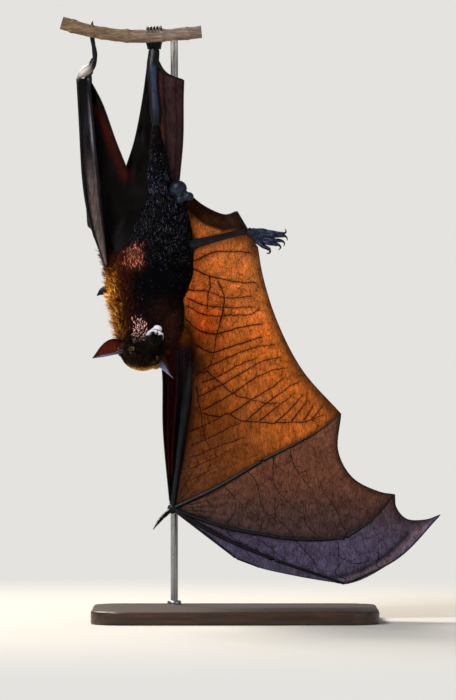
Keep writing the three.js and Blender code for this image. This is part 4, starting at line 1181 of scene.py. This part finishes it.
# Veins of the spread arm membrane, each through a few places: x and height, in mm.
veinValues = dict(
    rungs=[
        [(-48, 434), (-28, 443), (2, 445), (20, 443)],
        [(-52, 425), (-22, 413), (2, 409), (26, 407)],
        [(-57, 399), (-32, 397), (-13, 390), (20, 391)],
        [(-58, 389), (-35, 380), (-11, 378), (24, 378)],
        [(-59, 379), (-33, 368), (-8, 369), (20, 370), (30, 376)],
        [(-60, 363), (-41, 349), (-22, 346), (5, 354), (34, 359)],
        [(-61, 344), (-44, 330), (-26, 324), (2, 333), (33, 342)],
        [(-48, 296), (-30, 307), (2, 322), (24, 330), (48, 333)],
        [(-40, 287), (-19, 295), (5, 308), (28, 318)],
        [(-44, 269), (-15, 285), (14, 302), (37, 314), (57, 318)],
        [(-39, 253), (-4, 273), (27, 294), (46, 302), (62, 305)],
        [(-6, 249), (24, 268), (46, 282), (59, 293)],
        [(13, 240), (37, 261), (55, 274), (70, 285), (81, 290)],
        [(29, 240), (49, 256), (72, 274)],
        [(49, 239), (64, 252), (82, 272)],
        [(68, 240), (88, 266)], [(83, 241), (96, 261)], [(94, 244), (106, 259)],
        [(-55, 227), (-35, 236), (-17, 245)],
        [(-54, 210), (-35, 218), (-17, 227), (9, 240)],
        [(-55, 195), (-28, 206), (-8, 214), (12, 221)],
        [(-54, 182), (-30, 193), (-6, 204)],
        [(-56, 168), (-38, 176), (-20, 186)],
    ],
    long=[
        [(-20, 409), (-13, 390), (-14, 377), (-19, 355), (-22, 346), (-24, 330), (-26, 319), (-31, 306),
         (-34, 300)],
        [(-34, 300), (-24, 292), (-15, 285), (-4, 274), (16, 268), (37, 262), (55, 263)],
        [(-47, 282), (-44, 263), (-41, 251), (-39, 234), (-36, 219), (-29, 206)],
        [(-39, 250), (-22, 245), (-6, 249), (7, 241), (27, 239), (46, 238), (68, 239), (86, 240),
         (108, 249)],
        [(-31, 416), (-30, 401), (-32, 397), (-33, 377)],
        [(-34, 300), (-42, 298), (-50, 302)],
    ],
    radius=0.95, boldest=(1, 5, 6), boldRadius=1.25 * 0.95, sideRadius=0.42,
    panelRadius=0.6, panelSideRadius=0.4,
)


# A vein on a sheet: a smooth run in the front plane set into the sheet, each place at the depth of the
# nearest point's tangent plane, with a slight random waver, thinning to its end.
def veinOn(grid, route, radius, seed):
    route = np.array([(x, 0, z) for x, z in route], float)
    path = line(route, max(int(np.linalg.norm(np.diff(route, axis=0), axis=1).sum() / 1.5), 8))
    wobble = drift(path, 16, seed) * 0.8 + drift(path, 5, seed + 1) * 0.3
    path = path + np.outer(wobble, [0.4, 0, 0.9])
    flat = grid.reshape(-1, 3)
    facing = unit(np.cross(np.gradient(grid, axis=0), np.gradient(grid, axis=1))).reshape(-1, 3)
    off, which = nearest(path[:, [0, 2]], flat[:, [0, 2]])
    path, which = path[off < 1.9], which[off < 1.9]
    if len(path) < 4:
        return None
    off, n = path - flat[which], facing[which]
    steep = np.where(np.abs(n[:, 1]) < 0.3, 1e9, n[:, 1])
    path[:, 1] = flat[which, 1] - (off[:, 0] * n[:, 0] + off[:, 2] * n[:, 2]) / steep
    path[:, 1] = np.convolve(np.pad(path[:, 1], 1, mode="edge"), np.ones(3) / 3, "valid") - 0.22
    thick = radius * np.linspace(1, 0.6, len(path))
    return path, closedTube(sweep(path, thick * 0.5, thick, across=(0, 1, 0), sides=6))


# Short side veins that leave a run at an angle and fade out.
def sideVeins(path, seed, every=12, reach=9):
    local = np.random.default_rng(seed)
    routes = []
    for i in range(4, len(path) - 4, every):
        along = unit(path[i + 1] - path[i - 1])
        away = np.array([-along[2], 0, along[0]]) * local.choice([-1, 1])
        ends = path[i] + (along * local.uniform(0.2, 0.9) + away) * local.uniform(0.5, 1) * reach
        middle = (path[i] + ends) / 2 + local.normal(size=3) * 0.9
        routes.append([(p[0], p[2]) for p in (path[i], middle, ends)])
    return routes


veinShapes, veinPaths = [], []
for i, route in enumerate(veinValues["rungs"] + veinValues["long"]):
    radius = veinValues["boldRadius" if i in veinValues["boldest"] else "radius"]
    path, shape = veinOn(armGrid, route, radius, 100 + i)
    veinPaths.append(path)
    veinShapes.append((path, shape))
    for k, small in enumerate(sideVeins(path, 300 + i)):
        veinShapes.append(veinOn(armGrid, small, veinValues["sideRadius"], 900 + 40 * i + k))


# Veins of a hand panel: runs that leave one finger, cross towards the trailing edge and fork.
def panelVeins(grid, count, seed):
    local = np.random.default_rng(seed)
    n, m = grid.shape[:2]
    found = []
    for k in range(count):
        start = (k + 0.6) / (count + 1) * 0.86
        across = np.linspace(0.03, local.uniform(0.45, 0.75), 7)
        along = np.clip(start + 0.16 * across + 0.02 * np.sin(across * 9 + k), 0, 0.96)
        across = across if k % 2 == 0 else 1 - across
        points = grid[(along * (n - 1)).astype(int), (across * (m - 1)).astype(int)]
        path, shape = veinOn(grid, points[:, [0, 2]], veinValues["panelRadius"], seed + k)
        found.append((path, shape))
        for j, small in enumerate(sideVeins(path, seed + 50 + k, 8, 13)):
            found.append(veinOn(grid, small, veinValues["panelSideRadius"], seed + 400 + 20 * k + j))
    return found


panelShapes = panelVeins(panel45, 12, 2000) + panelVeins(panel34, 10, 3000)
print("veins", len(veinShapes) + len(panelShapes))


# How near a line the points are: 1 on it, fading over reach.
def nearLine(points, border, reach):
    return hill(nearest(points, border)[0], reach)


# Colours of a sheet's two faces: a base with bands of colour along lines, each a line, its colour, how far
# the band reaches and its share, and slow random light and dark.
def sheetColours(grid, base, bands):
    points = grid.reshape(-1, 3)
    c = base
    for border, colour, reach, share in bands:
        c = painted(c, (colour, share * nearLine(points, border, reach)))
    c = c * (1 + 0.1 * drift(points, 22, 41))[:, None]
    return np.concatenate([c, c])


# Orange where the light comes through, darker down the wing and to its outer side.
x, _, z = armGrid.reshape(-1, 3).T
armBase = painted(
    np.clip(wingShades["orange"] * (1 + 0.3 * smoothStep(z, 320, 410))[:, None], 0, 0.97),
    (wingShades["lit"], 0.5 * smoothStep(z, 330, 410)),
    (deep, 0.75 * smoothStep(-z, -340, -200) * smoothStep(-x, -110, 0)),
    (deep, 0.22 * smoothStep(drift(armGrid.reshape(-1, 3), 60, 44), -0.1, 0.8)),
    (edge, 0.55 * smoothStep(-z, -270, -150) * smoothStep(-x, -40, 30)),
)


# Two colours of a hand panel, one into the other from the first height to the second.
def panelBase(grid, lower, upper, low, high):
    return painted(wingShades[lower], (wingShades[upper], smoothStep(grid[..., 2].ravel(), low, high)))


# The tail skin: below a fold that lies across it, orange, painted light shining through; above it dark,
# painted shade. The fold is not shaped: a dark line of painted shade lies along it.
x, z = tailR[..., 0].ravel(), tailR[..., 2].ravel()
overFold = z - np.interp(x, [-56, -36, -14, 0], [492, 475, 468, 470])
tailBase = painted(wingShades["orange"] * 0.8, (edge, 0.9 * smoothStep(overFold, -2, 4)))
tailBase = tailBase * (1 - 0.6 * smoothStep(overFold, -2, 4))[:, None]
tailBase = painted(tailBase, (deep, 0.3 * smoothStep(overFold, 4, 14)))
# The line of painted shade along the fold.
tailFold = line([spot(-54, 6, 488), spot(-36, 8, 474), spot(-14, 8, 468)], 20)

# The front skin is dark, with greyish pleats in the half next to the arm and brown at its root.
down = np.linspace(0, 1, 120).repeat(40)
over = np.tile(np.linspace(0, 1, 40), 120)
pleats = smoothStep(over, 0.42, 0.52) * smoothStep(-down, -0.8, -0.45) * smoothStep(down, 0.1, 0.22)
pleats = pleats * (0.3 + 0.7 * np.maximum(np.sin(over * 62), 0))
pleatBase = painted(inner, (wingShades["pleat"], pleats),
                    (deep, 0.8 * smoothStep(over, 0.5, 0.85) * smoothStep(-down, -0.24, -0.1)))

panel45Base = panelBase(panel45, "panelDark", "panel", 110, 180)
# Painted bluish reflection of the sky on the lower part of this panel.
panel34Base = panelBase(panel34, "panelBlue", "panelDark", 76, 150)
wingSheets = [
    (armGrid, armBase, [
        (armGrid[::3, -1], edge, 12, 0.75), (armGrid[::3, 0], edge, 15, 0.9),
        (armGrid[0, ::3], edge, 10, 0.6), (armGrid[-1, ::3], edge, 5, 0.7),
        # A painted near-black shadow of the elbow on the skin.
        (elbowR[None] + [-2, -16, -10], inner, 17, 0.95),
        (np.concatenate(veinPaths)[::2], deep, 2.0, 0.6)]),
    (tailR, tailBase, [
        (tailR[:, 0], edge * 0.6, 11, 0.95), (tailR[:, -1], edge, 5, 0.9), (tailR[-1], edge, 14, 0.9),
        (tailFold, inner, 3.2, 0.95)]),
    (panel45, panel45Base, [(panel45[-1], inner, 4, 0.8), (panel45[::2, -1], inner, 7, 0.6)]),
    (panel34, panel34Base, [
        # Painted lilac sheen near the bend of the fourth finger.
        (panel34[-1], inner, 4, 0.7), (panel34[::2, -1], inner, 4, 0.6), (panel34[70:105, 12], lilac, 9, 0.6),
        # The inner band at column 26 is a painted dark line of shade along a fold.
        (panel34[88:136, 33], wingShades["panelPale"], 6, 0.7), (panel34[84:132, 26], inner, 3.5, 0.75),
        # A painted lilac highlight along the third finger near its tip.
        (panel34[112:, 37], lilac * 1.5, 3.5, 0.7)]),
    # This panel is all painted bluish reflection of the sky.
    (panel23, wingShades["panelBlue"] * 0.8, []),
    (frontGrid, pleatBase, [(frontGrid[:100, 12], wingShades["rust"], 5, 0.85)]),
    (tailL, mauve, [
        (tailL[::3, 0], inner, 5, 0.9), (tailL[:, 7], wingShades["streak"], 1.6, 0.9),
        (tailL[:, 12], inner, 1.2, 0.9), (tailL[:, 20], mauve * 1.6, 3, 0.7), (tailL[:, 26], inner, 0.9, 0.7),
        (tailL[:, -1], inner, 2, 0.8)]),
    # The rust strip is painted light shining through the skin.
    (armL, inner, [(armL[6:52, 14], wingShades["rust"] * 0.8, 6.0, 0.9)]),
]
for name, skin, sheets, replaced in (
    ("wingArm", wingSkin, wingSheets[:2], ["membrane_arm_right", "membrane_tail_right"]),
    ("wingHand", wingSkin, wingSheets[2:6],
     ["membrane_4_5_right", "membrane_3_4_right", "membrane_2_3_right", "membrane_front_right"]),
    ("wingFolded", slackSkin, wingSheets[6:], ["membrane_tail_left", "membrane_arm_left"]),
):
    shape = together([closedSheet(grid, wingValues["thickness"]) for grid, _, _ in sheets])
    colours = np.concatenate([sheetColours(*sheet) for sheet in sheets])
    piece(name, shape, skin, replaced, colours)
    print(name, len(shape[0]))


# A wing piece in one colour.
def plainPiece(name, shapes, skin, colour):
    shape = together(shapes)
    piece(name, shape, skin, (), np.tile(colour, (len(shape[0]), 1)))


armVeins, handVeins = ([vein[1] for vein in found if vein] for found in (veinShapes, panelShapes))
plainPiece("wingVeins", armVeins, pleatedSkin, wingShades["vein"] * 0.8)
plainPiece("handVeins", handVeins, pleatedSkin, wingShades["panelVein"])
hems = [(armGrid[:, -1], 0.55), (panel45[-1], 0.5), (panel34[-1], 0.5), (tailR[:, 0], 0.6),
        (armL[:55, 0], 0.6), (armL[54:, 0], 0.6), (tailL[:, -1], 0.6), (panel23[:, 0], 0.5),
        (frontGrid[:, 0], 0.7)]
hemShapes = [closedTube(sweep(line(border[::3], 80), [radius, radius], across=(0, 1, 0), sides=8))
             for border, radius in hems]
plainPiece("wingHems", hemShapes, bareSkin, wingShades["hem"])
print("wings ready")


# Coat: tufts rooted on the skin, thin three-sided spikes that lie along the body and overlap.
coatValues = dict(
    body=dict(count=95000, length=7.2, width=1.15, lift=25, flecks=0.34),
    mantle=dict(length=11.5, lift=46),
    head=dict(count=44000, length=3.8, width=0.7, lift=24, flecks=0.05, browns=0.08),
    perPiece=19000,
)
formPaths = [form[0] for form in furredForms] + [headLine]
formLie = [form[4] for form in furredForms] + [-1]


# Random roots on a mesh, evenly by area times weight: a triangle, then a place in it.
def scatter(verts, faces, count, weight):
    tri = triangles(faces)
    a, b, c = (verts[tri[:, k]] for k in range(3))
    area = np.linalg.norm(np.cross(b - a, c - a), axis=1) * weight((a + b + c) / 3)
    picked = rng.choice(len(tri), count, p=area / area.sum())
    u, v = rng.random((2, count, 1))
    over = u + v > 1
    u, v = np.where(over, 1 - u, u), np.where(over, 1 - v, v)
    n = unit(np.cross(b - a, c - a))[picked]
    return a[picked] * (1 - u - v) + b[picked] * u + c[picked] * v, n


# The place of roots on the coat's map: which form is nearest, the share along it and the angle round it,
# each form in its own tile. Also the direction in which the hair lies there.
def onForms(roots, onHead):
    paths = [path[::2] for path in formPaths]
    every = np.concatenate(paths)
    owner = np.concatenate([np.full(len(path), k) for k, path in enumerate(paths)])
    share = np.concatenate([np.linspace(0, 1, len(path)) for path in paths])
    tangent = np.concatenate([unit(np.gradient(path, axis=0)) * lie for path, lie in zip(paths, formLie)])
    usable = (owner == len(furredForms)) == onHead
    which = np.flatnonzero(usable)[nearest(roots, every[usable])[1]]
    rel = roots - every[which]
    along = tangent[which]
    side = unit(np.cross(along, [0.0, 1.0, 0.02]))
    angle = np.arctan2((rel * np.cross(along, side)).sum(1), (rel * side).sum(1)) / (2 * np.pi) + 0.5
    tile = np.stack([owner[which] % 3, owner[which] // 3], 1)
    lengthwise = np.clip(share[which] + (rel * along).sum(1) / 120, 0, 1)
    return along, (tile + 0.03 + 0.94 * np.stack([angle, lengthwise], 1)) / 3


# Each tuft is two rings of three corners and a tip. Its middle line leaves the skin at the lift angle,
# leans over towards the lie of the coat and sways to one side; its width falls to the tip.
def tufts(roots, n, lie, length, width, lift, colours, place):
    count = len(roots)
    lie = unit(lie - (lie * n).sum(1, keepdims=True) * n)
    side = np.cross(n, lie)
    t = np.array([0, 0.5, 1.0])[None, :, None]
    rise, sway = np.sin(np.radians(lift))[:, None, None], rng.normal(0, 0.16, (count, 1, 1))
    middle = (t * np.sqrt(1 - rise**2)) * lie[:, None] + (t * rise - 0.45 * rise * t**2 - 0.08) * n[:, None]
    middle = roots[:, None] + length[:, None, None] * (middle + sway * t**2 * side[:, None])
    taper = np.array([1.0, 0.8])[None, :, None, None] * width[:, None, None, None] / 2
    angle = np.radians([90, 210, 330])[None, None, :, None]
    ring = np.cos(angle) * side[:, None, None] + np.sin(angle) * n[:, None, None] * 0.5
    rings = middle[:, :2, None] + ring * taper
    verts = np.concatenate([rings.reshape(count, 6, 3), middle[:, 2:]], 1)
    pattern = [[3, 4, 6], [4, 5, 6], [5, 3, 6], [0, 2, 1]]
    for a, b in ((0, 1), (1, 2), (2, 0)):
        pattern += [[a, b, b + 3], [a, b + 3, a + 3]]
    faces = (np.arange(count)[:, None, None] * 7 + np.array(pattern)[None]).reshape(-1, 3)
    tone = np.array([0.35] * 3 + [0.9] * 3 + [1.5])[None, :, None]
    local = np.array([[(k % 3) * 0.0015, (k // 3) * 0.0015] for k in range(7)])
    return (verts.reshape(-1, 3), [faces], (colours[:, None] * tone).reshape(-1, 3),
            (place[:, None] + local[None] - 0.0015).reshape(-1, 2))


# Share of the ruff at points: the neck just behind the face, all round.
def ruffShare(points):
    forward = inHead(points)[:, 0]
    return smoothStep(forward, -62, -34) * smoothStep(-forward, 8, 18)


# A tuft's colour is the marking a few millimetres away from its root, so that borders are ragged, lighter
# or darker by chance. By chance too, some tufts are brown on the head, bright in the two patches of painted
# sunlight, reddish in the ruff to the right of the face, and pale gold, painted sunlight, or dark rust at the
# mantle's rim on the left. Of the black ones some get a painted bluish or greyish glint of light, most of
# them over the rump and flank. Also the share of that glint.
def coatColours(roots, scatterBy, flecks, browns=0.0):
    x, _, z = roots.T
    c = markings(roots + rng.normal(0, scatterBy, roots.shape))
    c = c * np.exp(rng.normal(0, 0.5, (len(roots), 1)))
    chance, bright = rng.random(len(roots)), np.exp(rng.normal(0, 0.35, (len(roots), 1)))
    chest, jaw = patches(roots)
    rim = mantleShare(roots) * smoothStep(-x, 130, 150)
    for picked, name, gain in (
        (chance < browns, "fleckBrown", 0.8),
        # Painted sunlight: bright tufts in the two patches, and further down pale gold at the mantle's rim.
        (chance < 0.19 * chest, "chest", 2.3),
        (chance < 0.24 * jaw, "jaw", 2.3),
        (chance < 0.2 * ruffShare(roots) * smoothStep(x, -108, -90), "ruff", 1.0),
        (chance < 0.16 * rim * smoothStep(-z, -420, -390), "paleGold", 1.0),
        (chance > 1 - 0.3 * rim, "rust", 0.6),
    ):
        c = np.where(picked[:, None], coatShades[name] * bright * gain, c)
    bloom = flecks * (0.08 + 0.92 * smoothStep(z + 0.5 * (x + 90), 400, 455)) * smoothStep(-z, -606, -520)
    share = (chance > 1 - bloom) * (c.sum(1) < 0.014) * rng.uniform(0.2, 1.0, len(roots)) ** 1.6
    grey = rng.random((len(roots), 1)) < 0.35
    bloomColour = 1.5 * np.where(grey, coatShades["fleckGrey"], coatShades["fleck"])
    return painted(c, (bloomColour, share)), share


# How densely the body is covered: less on the shins, bare at the elbows, more in front.
def bodyWeight(points):
    fromElbowR, fromElbowL = (distanceTo(points, elbow) for elbow in (elbowR, elbowL))
    covered = smoothStep(fromElbowR, 56, 72) * smoothStep(fromElbowL, 26, 50)
    covered = covered * (1 - 0.8 * smoothStep(points[:, 2], 545, 592))
    return np.where(covered > 0.02, covered, 0.0) * (1 + 0.3 * smoothStep(planeY - points[:, 1], -10, 10))


body, mantle, small = coatValues["body"], coatValues["mantle"], coatValues["head"]
roots, n = scatter(bodyVerts, bodyFaces, body["count"], bodyWeight)
lie, place = onForms(roots, False)
count = len(roots)
long = mantleShare(roots) * smoothStep(-roots[:, 0] + 0.8 * (roots[:, 1] - planeY), 108, 134)
long = np.maximum(long, 0.85 * ruffShare(roots))
waves = np.stack([drift(roots, 20, seed) for seed in (51, 52, 53)], 1)
lie = unit(lie + 0.34 * waves + rng.normal(0, 0.16, roots.shape) + (long * 0.3)[:, None] * n)
thin = 1 - 0.72 * smoothStep(roots[:, 2], 522, 585)  # short and fine on the shins
length = (body["length"] + (mantle["length"] - body["length"]) * long) * rng.uniform(0.65, 1.25, count) * thin
standing = (rng.random(count) < 0.18) * long  # long tufts that stand up from the mantle and ruff
lift = body["lift"] + (mantle["lift"] - body["lift"]) * long + rng.normal(0, 8, count) + 30 * standing
inPatch = np.maximum(*patches(roots))
length = length * (1 + 0.6 * standing) * (1 - 0.5 * inPatch)
width = body["width"] * rng.uniform(0.55, 1.3, count) * (1 - 0.4 * long) * (1 + 0.9 * standing)
width = width * (1 - 0.45 * inPatch) * (0.6 + 0.4 * thin)
colours, share = coatColours(roots, 5, body["flecks"])
bloomed = share > 0  # finer and shorter, so that they don't hide the black ones
coats = [tufts(roots, n, lie, length * (1 - 0.3 * bloomed), width * (1 - 0.5 * bloomed),
               np.clip(lift, 8, 82), colours, place)]


# How densely the head is covered: bare on the snout and round the eyes.
def headWeight(points):
    forward, _, up = inHead(points).T
    eyes = [distanceTo(points, eyeCentres[name] + eyeLooks[name] * 3) for name in ("left", "right")]
    bare = 33 + 6 * smoothStep(up, -6, 0)
    return (1 - smoothStep(forward - bare, -4, 3)) * smoothStep(np.minimum(*eyes), 5.2, 6.8) + 1e-6


roots, n = scatter(headVerts, headFaces, small["count"], headWeight)
lie, place = onForms(roots, True)
count = len(roots)
forward, left, up = inHead(roots).T
back = 1 - smoothStep(forward, -8, 26)
waves = np.stack([drift(roots, 12, seed) for seed in (61, 62, 63)], 1)
lie = unit(lie + 0.3 * waves + rng.normal(0, 0.14, roots.shape) + np.sign(left)[:, None] * headLeft * 0.3)
length = small["length"] * (0.5 + 1.1 * back) * rng.uniform(0.7, 1.3, count)
lift = small["lift"] + 16 * back + rng.normal(0, 6, count)
width = small["width"] * (0.65 + 0.5 * back) * rng.uniform(0.7, 1.25, count)
colours, share = coatColours(roots, 1.2, small["flecks"], small["browns"])
coats.append(tufts(roots, n, lie, length, width, np.clip(lift, 6, 60), colours, place))

number = 0  # a tuft has 7 corners and 10 faces
for verts, faces, colours, place in coats:
    whole = len(verts) // 7
    for first in range(0, whole, coatValues["perPiece"]):
        last = min(first + coatValues["perPiece"], whole)
        number += 1
        part = slice(first * 7, last * 7)
        shape = verts[part], [faces[0][first * 10:last * 10] - first * 7]
        piece(f"coat_{number}", shape, furHair, (), colours[part], place[part])
print("coat pieces", number)


# Perch: a bark-covered branch with knots, cut square at both ends, where its pale wood shows.
barkValues = dict(
    knots=[(0.08, 0.9), (0.3, 0.7), (0.47, 0.8), (0.72, 1.0), (0.9, 0.6)], knotLength=0.018,  # place, height
    unevenness=0.35, warm=np.array([0.95, 0.8, 0.66]), cool=np.array([1.0, 0.94, 1.08]),
    cutWood=shade("#E8C890") * 1.6,
)
t = np.linspace(0, 1, 200)
perchPath = line(perchLine[::6], 200)
radius = perchValues["radius"] * profile(perchValues["swell"], t)
for where, height in barkValues["knots"]:
    radius = radius + height * hill(t - where, barkValues["knotLength"])
grid = sweep(perchPath, radius, across=(0, 1, 0), sides=48)
middle = perchPath[:, None]
uneven = drift(grid.reshape(-1, 3) * [0.3, 1, 1], 5, 71).reshape(200, 48) * barkValues["unevenness"]
grid = grid + unit(grid - middle) * uneven[..., None]
ends = [middle[k] + (grid[k] - middle[k]) * 0.8 for k in (0, -1)]
grid = np.concatenate([ends[:1], grid, ends[1:]])
verts, faces = closedTube(grid)
tint = painted(barkValues["warm"], (barkValues["cool"], smoothStep(verts[:, 0], -150, -90)))
atEnd = np.zeros(len(verts), bool)
atEnd[:48] = atEnd[-50:] = True
tint = np.where(atEnd[:, None], barkValues["cutWood"], tint)
piece("perchBranch", (verts, faces), branchBark, ["perch"], tint)

# Stand: a rounded plate with an eased edge, and a rod bent forwards to the perch.
baseLow, baseHigh = (np.array(corner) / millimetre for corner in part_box("stand_base"))
standValues = dict(
    corner=40, ease=2.5, rod=4.5, bend=34, rodX=-74, rodY=96, socket=10, inPerch=0.4,
    collar=[8.5, 8.6, 8.4, 7.6], collarHeight=4.5,
)


# A rounded rectangle's outline, inset by a given distance.
def roundedOutline(low, high, corner, inset, perCorner=14):
    angle = np.linspace(0, np.pi / 2, perCorner)
    points = []
    for k, (sx, sy) in enumerate(((1, 1), (-1, 1), (-1, -1), (1, -1))):
        a = angle + k * np.pi / 2
        middle = np.where([sx > 0, sy > 0], high[:2] - corner, low[:2] + corner)
        points.append(middle + (corner - inset) * np.stack([np.cos(a), np.sin(a)], 1))
    return np.concatenate(points)


steps = np.linspace(0, np.pi / 2, 7)
ease = standValues["ease"]
levels = [(ease * (1 - np.sin(a)), baseLow[2] + ease * (1 - np.cos(a))) for a in steps]
levels += [(inset, baseHigh[2] - (z - baseLow[2])) for inset, z in levels[::-1]]
levels = [(30, baseLow[2])] + levels + [(30, baseHigh[2])]
rings = []
for inset, z in levels:
    outline = roundedOutline(baseLow, baseHigh, standValues["corner"], inset)
    rings.append(np.column_stack([outline, np.full(len(outline), z)]))
piece("standPlate", closedTube(np.stack(rings)), stainedBeech, ["stand_base"])
x, y, bend = standValues["rodX"], standValues["rodY"], standValues["bend"]
rodTop = perchSpot(x)
rodPoints = [[x, y, baseHigh[2] - standValues["socket"] + 0.4], [x, y, baseHigh[2] + 3]]
rodPoints += [[x, y, z] for z in np.linspace(60, rodTop[2] - bend - 8, 12)]
rodPoints += [[x, y - bend * (1 - np.cos(a)), rodTop[2] - bend + bend * np.sin(a)]
              for a in np.linspace(0, np.pi / 2, 16)]
rodEnd = rodTop[1] + perchValues["radius"] + standValues["inPerch"]
rodPoints += [[x, rodTop[1] + 26, rodTop[2]], [x, rodEnd, rodTop[2]]]
rod = closedTube(sweep(line(rodPoints, 200), [standValues["rod"]] * 2, sides=32))
piece("standRod", rod, drawnSteel, ["stand_rod"])
collarPath = line([[x, y, baseHigh[2] + up] for up in (-0.2, 2, standValues["collarHeight"])], 12)
collar = closedTube(sweep(collarPath, standValues["collar"], sides=40))
piece("standCollar", collar, drawnSteel)
print("stand ready")

# Camera: long and level, square to the animal's front.
viewValues = dict(centreX=-8.4, centreZ=326.4, height=840, distance=7000, sensor=36)
camera = bpy.data.objects.new("camera", bpy.data.cameras.new("camera"))
bpy.context.scene.collection.objects.link(camera)
camera.data.sensor_width = viewValues["sensor"]
camera.data.lens = viewValues["sensor"] * viewValues["distance"] / viewValues["height"]
viewPlace = np.array([viewValues["centreX"], planeY - viewValues["distance"], viewValues["centreZ"]])
camera.location = viewPlace * millimetre
camera.rotation_euler = (np.pi / 2, 0, 0)
camera.data.clip_end = 60
bpy.context.scene.camera = camera

# Studio: a flat round paper floor whose tone runs into the pale air around it as it gets further away.
studioValues = dict(
    air="#E4E3DF", paper="#CFCDC9", sky="#F2F1EE", skyStrength=0.25, floorRadii=[0.01, 0.5, 1.5, 4, 12],
    fadeFrom=0.3, fadeTo=1.4, middle=np.array([-0.02, 0, 0.35]),
    lamps=dict(  # place, size, power, colour
        key=((-1.8, -2.2, 2.4), 1.0, 92, "#FFFFFF"),
        fill=((2.6, -2.4, 0.9), 2.4, 12, "#FFFFFF"),
        behind=((-1.2, 1.8, 2.3), 1.2, 128, "#FFF4E4"),
    ),
)


# White paper near the animal; to the camera it turns to the tone of the air with the distance.
def studioPaper(tree):
    paper = add(tree, "BsdfPrincipled", {"Base Color": paint(studioValues["paper"]), "Roughness": 0.9})
    air = add(tree, "Emission", {"Color": paint(studioValues["air"]), "Strength": 1.0})
    place = add(tree, "TexCoord", {}, "Object")
    length = add(tree, "VectorMath", {0: place}, "Value", operation="LENGTH")
    far = add(tree, "MapRange", {"Value": length, "From Min": studioValues["fadeFrom"],
                                 "From Max": studioValues["fadeTo"]}, interpolation_type="SMOOTHSTEP")
    seen = add(tree, "Math", {0: far, 1: add(tree, "LightPath", {}, "Is Camera Ray")}, operation="MULTIPLY")
    return add(tree, "MixShader", {0: seen, 1: paper, 2: air})


# The floor: rings of the given radii in metres, joined by quads.
radii = np.array(studioValues["floorRadii"])[:, None] / millimetre
angle = np.linspace(0, 2 * np.pi, 72, endpoint=False)[None]
grid = np.stack([radii * np.cos(angle), radii * np.sin(angle), 0 * radii * angle], -1)
i, j = np.arange(len(radii) - 1)[:, None] * 72, np.arange(72)[None]
k = (j + 1) % 72
faces = np.stack([i + j, i + 72 + j, i + 72 + k, i + k], -1).reshape(-1, 4)
mesh = meshOf("studioFloor", grid.reshape(-1, 3), [faces])
mesh.materials.append(newMaterial("studioPaper", studioPaper))
floor = bpy.data.objects.new("studioFloor", mesh)
bpy.context.scene.collection.objects.link(floor)

# Square lamps that look at the middle of the animal.
for name, (place, size, power, colour) in studioValues["lamps"].items():
    lamp = bpy.data.lights.new(name, "AREA")
    lamp.size, lamp.energy, lamp.color = size, power, tuple(shade(colour))
    made = bpy.data.objects.new(name, lamp)
    bpy.context.scene.collection.objects.link(made)
    made.location = place
    x, y, z = np.array(place) - studioValues["middle"]
    made.rotation_euler = (np.arctan2(np.hypot(x, y), z), 0, np.arctan2(x, -y))
world = bpy.data.worlds.new("studioWorld")
bpy.context.scene.world = world
world.use_nodes = True
tree = world.node_tree
tree.nodes.clear()
sky = add(tree, "Background", {"Color": paint(studioValues["sky"]), "Strength": studioValues["skyStrength"]})
air = add(tree, "Background", {"Color": paint(studioValues["air"]), "Strength": 1.0})
seen = add(tree, "LightPath", {}, "Is Camera Ray")
add(tree, "OutputWorld", {"Surface": add(tree, "MixShader", {0: seen, 1: sky, 2: air})})
bpy.context.scene.view_settings.view_transform = "Standard"

print("done")
